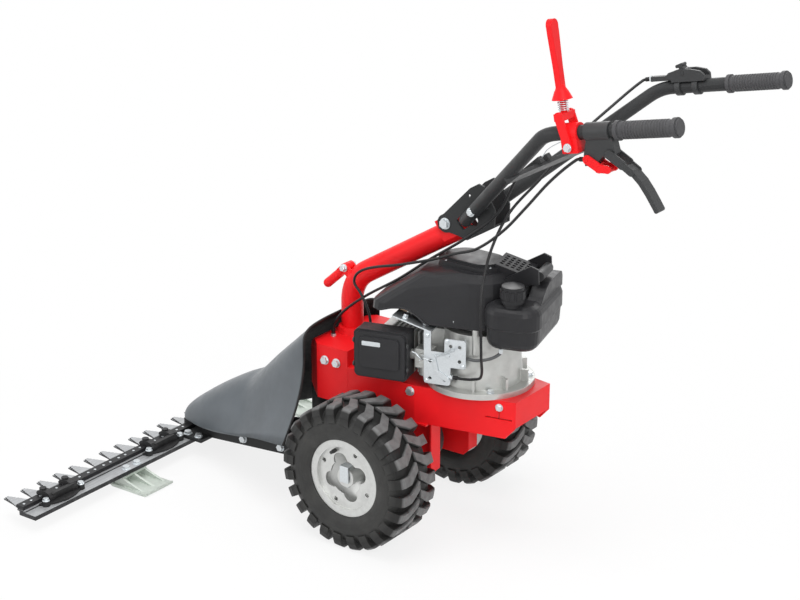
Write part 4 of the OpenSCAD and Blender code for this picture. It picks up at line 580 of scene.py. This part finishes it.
CLUTCH_ROUTE = [on_knee(1, p) for p in (
    (-83.2, 0, -51), (-76, 0, -51), (-60, 0, -52))] + [over_plate(*p) for p in (
    (-463, 207, 544), (-396, 184, 474), (-322, 150, 403), (-234, 112, 338), (-166, 92, 309), (-108, 80, 283),
    (-8, 68, 247), (78, 60, 220), (112, 58, 200), (120, 58, 178), (100, 60, 156), (76, 62, 110), (72, 62, 60),
    (72, 62, 16), (72, 62, 0.3))]
BLADE_ROUTE = [on_cross(p) for p in ((26.7, 70, -6), (34, 70, -6), (50, 70, -6))] + [over_plate(*p) for p in (
    (-258, 68, 410), (-186, 66, 345), (-80, 62, 270), (0, 58, 211), (91, 54, 152), (152, 52, 104), (182, 52, 66),
    (184, 52, 50), (184, 52, CASE_TOP + 0.3 - PLATE_TOP))]
THROTTLE_ROUTE = [on_knee(-1, p) for p in ((16.8, 0, 20), (24, 0, 20), (38, 3, 18))] + [over_plate(*p) for p in (
    (-385, -160, 605), (-340, -95, 543), (-300, -20, 465), (-262, 30, 402), (-254, 82, 340), (-262, 126, 280),
    (-270, 146, 230), (-276, 154, 170), (-276, 152, 128))] + [on_engine(p) for p in (
        (-44, 132, 62), (-18, 114, 46), (6, 102, 39), (22, 99.5, 38), (33.7, 99.5, 38))]
HOSE_ROUTE = [on_engine(p) for p in (
    (-75, 96, 117.7), (-74, 97, 106), (-52, 101, 92), (-22, 100, 84), (2, 92.5, 82), (30, 91, 78), (54, 83, 74),
    (70, 80, 72), (79.7, 80, 72))]
CABLE_R, HOSE_R = 0.003, 0.0035
CABLE_STEPS, CABLE_SIDES = 10, 14


def cable(name, node_name, points, radius, bend=None):
    """A sheathed cable along its route; one given a bend is baked in place rather than attached to the chassis, and
    the ends in bend are not used.
    """
    path = glided([row(p) for p in points], CABLE_STEPS)
    piece = patterned(name, SWEPT, polyline(path), SLOT_OF[node_name], Radius=radius, Sides=CABLE_SIDES)
    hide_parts(node_name)
    if bend:
        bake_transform(piece)
    else:
        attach(piece, "chassis")
    return path


CLUTCH_BEND = ((60, 0, 590), (-300, 0, 760))
BLADE_BEND = ((20, 0, 560), (-230, 0, 740))
THROTTLE_BEND = ((-276, 0, 560), (-300, 0, 815))
clutch_path = cable("clutch_cable_sheath", "clutch_cable", CLUTCH_ROUTE, CABLE_R, CLUTCH_BEND)
blade_path = cable("blade_cable_sheath", "blade_cable", BLADE_ROUTE, CABLE_R, BLADE_BEND)
throttle_path = cable("throttle_cable_sheath", "throttle_cable", THROTTLE_ROUTE, CABLE_R, THROTTLE_BEND)
hose_path = cable("fuel_hose_rubber_tube", "fuel_hose", HOSE_ROUTE, HOSE_R)


def stretch(path, length):
    """The first stretch of a path, up to a length."""
    taken, run = [path[0]], 0
    for a, b in zip(path, path[1:]):
        run += (b - a).length
        if run > length:
            break
        taken.append(b)
    return taken


# Ferrules and adjuster nuts at the ends of the cables, and spring clips on the hose

FERRULE_R, FERRULE_LEN = 0.0046, 0.016
CLIP_LEN, CLIP_WALL = 0.012, 0.0009
for label, path, body in (
        ("clutch", clutch_path, "handlebar"), ("blade", blade_path, "handlebar"),
        ("throttle", throttle_path, "handlebar"), ("clutch_foot", clutch_path[::-1], "chassis"),
        ("blade_foot", blade_path[::-1], "chassis"), ("throttle_foot", throttle_path[::-1], "chassis")):
    ferrule = patterned(label + "_ferrule", SWEPT, polyline(stretch(path, FERRULE_LEN)), "cable_black",
                        Radius=FERRULE_R, Sides=CABLE_SIDES)
    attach(ferrule, body)
    seat = heads_at([(path[0], (path[1] - path[0]).normalized())])
    nut = patterned(label + "_adjuster_nut", BOLTS, seat, "zinc", Across=0.011, Height=0.005, Washer=0.0065)
    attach(nut, body)
for label, path in (("tank", hose_path), ("carburettor", hose_path[::-1])):
    clip = patterned(label + "_hose_clip", SWEPT, polyline(stretch(path, CLIP_LEN)[1:]), "zinc",
                     Radius=HOSE_R + CLIP_WALL, Sides=16)
    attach(clip, "chassis")


# The blade lever's neck spring

SPRING_SEAT = (-0.048, 0, 0.0416)
knee_frame = Matrix.Translation(row(KNEE)) @ Matrix.Rotation(GRIP_RISE, 4, "Y")
neck_spring = patterned("neck_spring_wire", COIL, bpy.data.meshes.new("start"), SLOT_OF["lever_spring"],
                        Radius=0.0095, Height=0.0208, Turns=5.0, Wire=0.0011)
neck_spring.data.transform(knee_frame @ Matrix.Translation(SPRING_SEAT))
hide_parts("lever_spring")
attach(neck_spring, "blade_control")


# Rivets that hold the blade sections to the knife's back strip

BAR_LENGTH, SECTIONS = 1204, 24
PITCH = BAR_LENGTH / SECTIONS
BACK_TOP, BACK_MIDDLE_X = 52.4, 641
RIVET_OFF, KNIFE_HEAD_HALF = 11, 48
OUT, FORWARD, ABOVE, BELOW = (0, 1, 0), (1, 0, 0), (0, 0, 1), (0, 0, -1)
rivet_rows = [PITCH * (i - (SECTIONS - 1) / 2) + off for i in range(SECTIONS) for off in (-RIVET_OFF, RIVET_OFF)]
rivet_spots = [(row((BACK_MIDDLE_X, y, BACK_TOP)), ABOVE) for y in rivet_rows if abs(y) > KNIFE_HEAD_HALF]
rivets = patterned("knife_rivets", DOMES, heads_at(rivet_spots), "zinc", Radius=0.0034, Flat=0.12)
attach(rivets, "knife")


# The hood: the solid's own curves, read more finely, with its inner face in black

HOOD_REAR, HOOD_FRONT, HOOD_WALL = 200, 640, 3
HOOD_STEPS, HOOD_ARCS, TRIM_ARCS = 72, 28, 40
BAR_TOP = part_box("cutter_bar")[1][2] * MM
# Each line gives a share of the hood's length and a width, or a height over the slope from the case to the bar
RIDGE = ((0, 44), (0.14, 42), (0.31, 39), (0.38, 35), (0.46, 30), (0.52, 29), (0.58, 38), (0.66, 49), (0.8, 62),
         (0.9, 67), (0.95, 68), (0.98, 64), (1, 55))
CROWN = ((0, 258), (0.14, 205), (0.31, 140), (0.46, 100), (0.52, 90), (0.66, 92), (0.8, 92), (0.95, 76),
         (0.98, 62), (1, 36))
SHOULDER_Y = ((0, 43), (0.14, 60), (0.31, 78), (0.46, 92), (0.52, 104), (0.66, 110), (0.8, 106), (0.95, 80),
              (0.98, 64), (1, 38))
SHOULDER_Z = ((0, 13), (0.14, -8), (0.31, -28), (0.46, -43), (0.52, -42), (0.66, -9), (0.8, 17), (0.95, 44),
              (1, 50))
SKIRT_Y = ((0, 221), (0.14, 196), (0.31, 166), (0.46, 141), (0.52, 131), (0.66, 114), (0.8, 101), (0.9, 90),
           (0.95, 80), (0.98, 64), (1, 40))
SKIRT_Z = ((0, -213), (0.14, -180), (0.31, -141), (0.46, -111), (0.52, -98), (0.66, -64), (0.8, -22), (0.9, 13),
           (1, 47))


def eased(line, share):
    """A smooth reading of a line of (share, value) pairs."""
    def slope(k):
        low, high = line[max(k - 1, 0)], line[min(k + 1, len(line) - 1)]
        return (high[1] - low[1]) / (high[0] - low[0])
    i = max(k for k in range(len(line) - 1) if line[k][0] <= share)
    (a, p), (b, q) = line[i], line[i + 1]
    t, leave, arrive = (share - a) / (b - a), slope(i) * (b - a), slope(i + 1) * (b - a)
    return p + leave * t + (3 * (q - p) - 2 * leave - arrive) * t ** 2 + (leave + arrive - 2 * (q - p)) * t ** 3


def hood_ring(share, inset, arcs):
    """One cross section of the hood, from the left skirt over the ridge to the right one."""
    base = CASE_TOP + (BAR_TOP - CASE_TOP) * share
    ridge, shoulder_z = base + eased(RIDGE, share) - inset, base + eased(SHOULDER_Z, share) - inset / 2
    knots = [Vector((0, ridge)), Vector((eased(CROWN, share) - inset, ridge)),
             Vector((eased(SHOULDER_Y, share) - inset, shoulder_z)),
             Vector((eased(SKIRT_Y, share) - inset, base + eased(SKIRT_Z, share)))]
    half = []
    for k in range(arcs + 1):
        t = k / arcs
        half.append(knots[0] * (1 - t) ** 3 + knots[1] * 3 * t * (1 - t) ** 2
                    + knots[2] * 3 * t * t * (1 - t) + knots[3] * t ** 3)
    x = HOOD_REAR + (HOOD_FRONT - HOOD_REAR) * share
    return [row((x, p[0], p[1])) for p in half[::-1]] + [row((x, -p[0], p[1])) for p in half[1:]]


def hood_shell(steps, arcs):
    """The hood as a closed shell: its skin, a black inner face a wall's width inside it and the rim between them.
    """
    width, inner = 2 * arcs + 1, (steps + 1) * (2 * arcs + 1)
    points = [p for inset in (0, HOOD_WALL) for i in range(steps + 1) for p in hood_ring(i / steps, inset, arcs)]
    skin, inner_face, rim = [], [], []
    for i in range(steps):
        for k in range(width - 1):
            a, b, c, d = i * width + k, i * width + k + 1, (i + 1) * width + k + 1, (i + 1) * width + k
            skin.append((a, b, c, d))
            inner_face.append((d + inner, c + inner, b + inner, a + inner))
        for a, b in ((i * width, (i + 1) * width), ((i + 2) * width - 1, (i + 1) * width - 1)):
            rim.append((a, b, b + inner, a + inner))
    last = steps * width
    for k in range(width - 1):
        rim.append((k + 1, k, k + inner, k + 1 + inner))
        rim.append((last + k, last + k + 1, last + k + 1 + inner, last + k + inner))
    mesh = bpy.data.meshes.new("hood_shell")
    mesh.from_pydata(points, [], skin + inner_face + rim)
    mesh.materials.append(FINISHES["hood_grey"])
    # The second finish, black rubber, goes on the inner face
    mesh.materials.append(FINISHES["belt_rubber"])
    for face in mesh.polygons:
        face.use_smooth = face.index < len(skin) + len(inner_face)
        face.material_index = int(len(skin) <= face.index < len(skin) + len(inner_face))
    piece = bpy.data.objects.new("hood_shell", mesh)
    bpy.context.scene.collection.objects.link(piece)
    return piece


hood = hood_shell(HOOD_STEPS, HOOD_ARCS)
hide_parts("hood")
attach(hood, "chassis")
trim = patterned("hood_edge_trim", SWEPT, polyline(hood_ring(0, HOOD_WALL / 2, TRIM_ARCS)), "belt_rubber",
                 Radius=0.0026, Sides=10)
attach(trim, "chassis")


# Small parts of the engine, in its own frame


def on_engine_row(points):
    return [row(on_engine(p)) for p in points]


def engine_heads(name, pattern, spots, slot_name, **sizes):
    """Screws or nuts on the engine from (place, facing) pairs in its own frame."""
    mesh = heads_at([(row(on_engine(place)), turned(facing).normalized()) for place, facing in spots])
    piece = patterned(name, pattern, mesh, slot_name, **sizes)
    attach(piece, "chassis")


def spring_path(start, end, radius, turns, hook=0.14, steps=12):
    """The wire of a tension spring between two places, with a straight hook at each end."""
    axis = (end - start).normalized()
    side = axis.orthogonal().normalized()
    other = axis.cross(side)
    path = [start]
    for k in range(turns * steps + 1):
        angle = math.tau * k / steps
        middle = start.lerp(end, hook + (1 - 2 * hook) * k / (turns * steps))
        path.append(middle + (side * math.cos(angle) + other * math.sin(angle)) * radius)
    return path + [end]


PLATE_FACE, ARM_FACE = 101, 103.4
ARM_TOP, ARM_FOOT = (72, 80), (42, 34)
SPRING_TAB = (14, 108)
COIL_R, COIL_TURNS = 0.0026, 18
tab, arm_top = on_engine_row([
    (SPRING_TAB[0], PLATE_FACE + 6, SPRING_TAB[1]), (ARM_TOP[0], ARM_FACE + 4, ARM_TOP[1])])
spring_wire = polyline(spring_path(tab, arm_top, COIL_R, COIL_TURNS))
governor_spring = patterned("governor_spring", SWEPT, spring_wire, "zinc", Radius=0.0005, Sides=6)
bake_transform(governor_spring)
link_path = on_engine_row([(99, 95.2, 77), (99, 100, 77), (92, 107, 76), (74, 107, 73), (70, ARM_FACE + 0.2, 72)])
link = patterned("governor_link", SWEPT, polyline(glided(link_path, 6)), "zinc", Radius=0.001, Sides=8)
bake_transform(link)
inner_path = on_engine_row([(34, 99.5, 38), (38, 102.6, 36.5), (ARM_FOOT[0], ARM_FACE + 0.6, ARM_FOOT[1])])
inner_wire = patterned("throttle_inner_wire", SWEPT, polyline(inner_path), "zinc", Radius=0.0007, Sides=6)
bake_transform(inner_wire)
choke_path = on_engine_row([(99, 94.6, 68), (99, 98.2, 68), (104, 99.4, 73), (113, 99.4, 82), (121, 99.4, 84)])
choke = patterned("choke_lever", SWEPT, polyline(choke_path), "zinc", Radius=0.0017, Sides=10)
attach(choke, "chassis")
CARB_X, CARB_Z, CARB_FACE, CARB_SCREW_R = 99, 68, 95, 8
SHIELD_X, SHIELD_Z, SHIELD_RUN, SHIELD_RISE = 78, 136, 88, 25
engine_heads("control_plate_screws", BOLTS, [((x, PLATE_FACE, z), OUT) for x, z in (
    (40, 86), (88, 24), (6, 66), (42, 118), (86, 126))], "zinc", Across=0.008, Height=0.004, Washer=0.0055)
engine_heads("carburettor_screws", DOMES, [
    ((CARB_X + CARB_SCREW_R * math.cos(a), CARB_FACE, CARB_Z + CARB_SCREW_R * math.sin(a)), OUT)
    for a in (math.radians(angle) for angle in (90, 210, 330))], "zinc", Radius=0.0022, Flat=0.5)
engine_heads("bowl_nut", BOLTS, [((CARB_X, 74, 24), BELOW)], "zinc", Across=0.010, Height=0.005, Washer=0.007)
engine_heads("shield_nuts", BOLTS, [
    ((x, y, SHIELD_Z + SHIELD_RISE * (x - SHIELD_X) / SHIELD_RUN), (-SHIELD_RISE, 0, SHIELD_RUN))
    for x, y in ((98, 76), (142, 84))], "zinc", Across=0.010, Height=0.008, Washer=0.008)
SHROUD_R, SHROUD_LOW, SHROUD_BOLT_RISE, PANEL_TOP = 90, 146, 14, 274
engine_heads("shroud_bolts", BOLTS, [
    ((SHROUD_R * math.cos(a), SHROUD_R * math.sin(a), SHROUD_LOW + SHROUD_BOLT_RISE), (math.cos(a), math.sin(a), 0))
    for a in (math.radians(angle) for angle in (68, 272, 300))], "zinc", Across=0.010, Height=0.006, Washer=0.0075)
engine_heads("shroud_panel_screws", DOMES, [((x, y, PANEL_TOP), ABOVE) for x, y in (
    (-34, 49), (70, 32), (72, -46), (-34, -30))], "zinc", Radius=0.0026, Flat=0.45)
AIR_BOX_SIDES, CLIP_Y, CLIP_HEIGHTS = ((126, (-1, 0, 0)), (248, FORWARD)), 114, (46, 100)
engine_heads("air_box_clips", DOMES, [
    ((x, CLIP_Y, z), side) for x, side in AIR_BOX_SIDES for z in CLIP_HEIGHTS], "control_black",
    Radius=0.006, Flat=0.5)
arch = on_engine_row([(x, y, SHROUD_LOW + rise) for x, y, rise in (
    (88, 91, -1), (100, 91.4, 6), (116, 90.8, 18), (140, 90, 29), (170, 90, 28), (192, 90, 22), (204, 87.5, 19))])
lip = patterned("shroud_arch_lip", SWEPT, polyline(glided(arch, 6)), "engine_black", Radius=0.0024, Sides=10)
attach(lip, "chassis")

GRIP_SEAT, PULL_LEAN, NOZZLE = Vector((-118, -8, 254)), math.radians(70), 28
ROPE_STEPS, ROPE_IN_GRIP = 12, 2
PULL = Vector((-math.sin(PULL_LEAN), 0, math.cos(PULL_LEAN)))
rope_path = on_engine_row([
    GRIP_SEAT + PULL * (NOZZLE * (k / ROPE_STEPS - 1) + ROPE_IN_GRIP * k / ROPE_STEPS)
    for k in range(ROPE_STEPS + 1)])
rope = patterned("starter_rope", SWEPT, polyline(rope_path), "cable_black", Radius=0.002, Sides=10)
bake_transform(rope)


# A bare plate on the air box

CORNER_R, CORNER_STEPS = 2.2, 4


def bare_plate(name, low, high, slot_name):
    """A thin plate on the engine with eased edges, from two corners in the engine's frame."""
    mesh = bpy.data.meshes.new(name)
    shape = bmesh.new()
    bmesh.ops.create_cube(shape, size=1)
    middle, size = (Vector(low) + Vector(high)) / 2, Vector(high) - Vector(low)
    upright = [e for e in shape.edges if abs(e.verts[0].co.y - e.verts[1].co.y) > 0.5]
    for vertex in shape.verts:
        vertex.co = Vector((vertex.co.x * size.x, vertex.co.y * size.y, vertex.co.z * size.z))
    bmesh.ops.bevel(shape, geom=upright, offset=CORNER_R, segments=CORNER_STEPS, affect="EDGES", profile=0.5)
    for vertex in shape.verts:
        vertex.co = row(on_engine(vertex.co + middle))
    shape.to_mesh(mesh)
    shape.free()
    mesh.materials.append(FINISHES[slot_name])
    piece = bpy.data.objects.new(name, mesh)
    bpy.context.scene.collection.objects.link(piece)
    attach(piece, "chassis")


bare_plate("air_box_bare_plate", (184, 123.5, 94), (226, 125, 104), "zinc")


# Wires and fasteners of the handlebar, the column lever, the plate and the wheels

wire_leave, wire_end = on_cross((-60, 84, -2)), on_knee(1, (-54, -18.6, -6))
wire_path = [row(p) for p in (on_cross((-26.3, 70, -6)), wire_leave, wire_leave.lerp(wire_end, 0.6), wire_end)]
blade_wire = patterned("blade_inner_wire", SWEPT, polyline(glided(wire_path, 8)), "zinc", Radius=0.0009, Sides=8)
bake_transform(blade_wire)

TUBE_DIR = (KNEE - TUBE_LOW).normalized()
TUBE_R, PLUG_R, PLUG_GAP, PLUG_LENGTH, TUBE_BOLT_ALONG = 14, 0.0137, 0.5, 42, 16


def mirrored(point, side):
    return Vector((point[0], side * point[1], point[2]))


plug_lines = [[row(mirrored(TUBE_LOW - TUBE_DIR * along, side))
               for along in (PLUG_GAP, PLUG_LENGTH / 2, PLUG_LENGTH)] for side in (-1, 1)]
plugs = patterned("tube_end_plugs", SWEPT, polyline(*plug_lines), "control_black", Radius=PLUG_R, Sides=28)
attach(plugs, "handlebar")
tube_bolt = TUBE_LOW + TUBE_DIR * TUBE_BOLT_ALONG + Vector((0, TUBE_R, 0))
tube_bolts = patterned("tube_end_bolts", BOLTS, heads_at([
    (row(mirrored(tube_bolt, side)), (0, side, 0)) for side in (-1, 1)]), "zinc",
    Across=0.013, Height=0.007, Washer=0.010)
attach(tube_bolts, "handlebar")

LEVER_ROOT, EAR_Y = (182, 537), 14
lever_bolt = patterned("column_lever_bolt", BOLTS, heads_at([
    (row((LEVER_ROOT[0], side * EAR_Y, LEVER_ROOT[1])), (0, side, 0)) for side in (-1, 1)]), "zinc",
    Across=0.013, Height=0.009, Washer=0.0095)
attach(lever_bolt, "chassis")

PLATE_CORNER, PLATE_WAIST = Vector((-310, 68)), Vector((-80, 112))
PLATE_BOLT_SHARE, PLATE_BOLT_Z = 0.16, 334
plate_out = (PLATE_WAIST - PLATE_CORNER).orthogonal().normalized()
plate_spot = PLATE_CORNER.lerp(PLATE_WAIST, PLATE_BOLT_SHARE)
plate_bolts = patterned("plate_corner_bolts", BOLTS, heads_at([
    (row((plate_spot.x, side * plate_spot.y, PLATE_BOLT_Z)), (plate_out.x, side * plate_out.y, 0))
    for side in (-1, 1)]), "zinc", Across=0.013, Height=0.006, Washer=0.009)
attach(plate_bolts, "chassis")

DISC_FACE, VALVE_R, VALVE_ANGLE = 253, 63, math.radians(65)
valve_at = (VALVE_R * math.cos(VALVE_ANGLE), WHEEL_R + VALVE_R * math.sin(VALVE_ANGLE))


def valve_line(side, low, high):
    return [row((valve_at[0], side * (DISC_FACE + y), valve_at[1])) for y in (low, (low + high) / 2, high)]


for name, low, high, radius, slot_name in (("valve_stems", -2, 9, 0.0046, "tyre_rubber"),
                                           ("valve_caps", 8.5, 16, 0.0036, "control_black")):
    valves = patterned(name, SWEPT, polyline(*(valve_line(side, low, high) for side in (-1, 1))), slot_name,
                       Radius=radius, Sides=14)
    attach(valves, "wheelset")


# Camera, light and floor

CAMERA_AT = (-2278.2, 3211.5, 1920.0)
CAMERA_RIGHT = Vector((-0.8110, -0.5850, 0.0001))
CAMERA_UP = Vector((0.1992, -0.2759, 0.9403))
CAMERA_VIEW = Vector((0.5501, -0.7626, -0.3402))
FOCAL_PIXELS, FRAME_WIDTH, SENSOR = 1916, 800, 36
camera_data = bpy.data.cameras.new("camera")
camera_data.sensor_width = SENSOR
camera_data.lens = FOCAL_PIXELS / FRAME_WIDTH * SENSOR
camera_data.clip_end = 60
camera = bpy.data.objects.new("camera", camera_data)
camera.matrix_world = Matrix.Translation(row(CAMERA_AT)) @ Matrix((
    (CAMERA_RIGHT.x, CAMERA_UP.x, -CAMERA_VIEW.x, 0), (CAMERA_RIGHT.y, CAMERA_UP.y, -CAMERA_VIEW.y, 0),
    (CAMERA_RIGHT.z, CAMERA_UP.z, -CAMERA_VIEW.z, 0), (0, 0, 0, 1)))
bpy.context.scene.collection.objects.link(camera)
bpy.context.scene.camera = camera


def softbox(name, place, target, size, watts):
    data = bpy.data.lights.new(name, "AREA")
    data.size = size
    data.energy = watts
    lamp = bpy.data.objects.new(name, data)
    lamp.location = place
    lamp.rotation_euler = (Vector(target) - Vector(place)).to_track_quat("-Z", "Y").to_euler()
    bpy.context.scene.collection.objects.link(lamp)


FOOT, MIDDLE = (0, 0, 0), (0, 0, 0.5)
LAMPS = (
    ("overhead_softbox", (-0.1, 0.6, 4.2), FOOT, 3.0, 96),
    ("key_softbox", (-3.2, 2.6, 3.0), MIDDLE, 2.2, 84),
    ("fill_softbox", (2.8, 3.4, 1.8), MIDDLE, 2.6, 34),
    ("rim_softbox", (1.2, -3.6, 2.6), MIDDLE, 2.4, 40),
)
for lamp in LAMPS:
    softbox(*lamp)


def shows_background(tree):
    """1 for the rays that show the studio itself: camera, glossy and transmission rays."""
    rays = tree.nodes.new("ShaderNodeLightPath").outputs
    shown = rays["Is Camera Ray"]
    for name in ("Is Glossy Ray", "Is Transmission Ray"):
        either = tree.nodes.new("ShaderNodeMath")
        either.operation = "MAXIMUM"
        tree.links.new(shown, either.inputs[0])
        tree.links.new(rays[name], either.inputs[1])
        shown = either.outputs[0]
    return shown


SKY_LIGHT = 0.34
world = bpy.data.worlds.new("studio")
bpy.context.scene.world = world
world.use_nodes = True
sky = world.node_tree
sky.nodes.clear()
strength = sky.nodes.new("ShaderNodeMapRange")
strength.inputs["To Min"].default_value = SKY_LIGHT
sky.links.new(shows_background(sky), strength.inputs["Value"])
glow = sky.nodes.new("ShaderNodeBackground")
glow.inputs["Color"].default_value = (1, 1, 1, 1)
sky.links.new(strength.outputs["Result"], glow.inputs["Strength"])
sky.links.new(glow.outputs[0], sky.nodes.new("ShaderNodeOutputWorld").inputs["Surface"])

FLOOR_HALF = 14
SHADOW_NEAR, SHADOW_FAR, NEAR_WHITE = 0.6, 1.4, 0.82


def studio_floor():
    """A matt floor that keeps the shadow near the machine and fades to plain white around it."""
    f = Finish("studio_floor_white")
    f.set(Base_Color=f.mix(f.noise(0.8, 3), (0.95, 0.95, 0.95, 1), (0.97, 0.97, 0.97, 1)))
    f.set(Roughness=0.9, Specular_IOR_Level=0.0)
    distance = f.node("ShaderNodeVectorMath", {0: f.place["Object"]}, operation="LENGTH").outputs["Value"]
    white = f.math("MULTIPLY", f.ranged(distance, SHADOW_NEAR, SHADOW_FAR, NEAR_WHITE), shows_background(f.tree))
    plain = f.node("ShaderNodeEmission").outputs["Emission"]
    both = f.node("ShaderNodeMixShader", {0: white, 1: f.shader.outputs["BSDF"], 2: plain})
    out = next(n for n in f.tree.nodes if n.type == "OUTPUT_MATERIAL")
    f.link(both.outputs["Shader"], out.inputs["Surface"])
    return f.material


floor_mesh = bpy.data.meshes.new("floor")
floor_mesh.from_pydata([(x, y, 0) for x, y in ((-1, -1), (1, -1), (1, 1), (-1, 1))], [], [(0, 1, 2, 3)])
floor_mesh.transform(Matrix.Scale(FLOOR_HALF, 4))
floor_mesh.materials.append(studio_floor())
floor = bpy.data.objects.new("studio_floor", floor_mesh)
bpy.context.scene.collection.objects.link(floor)

bpy.context.scene.view_settings.view_transform = "Standard"
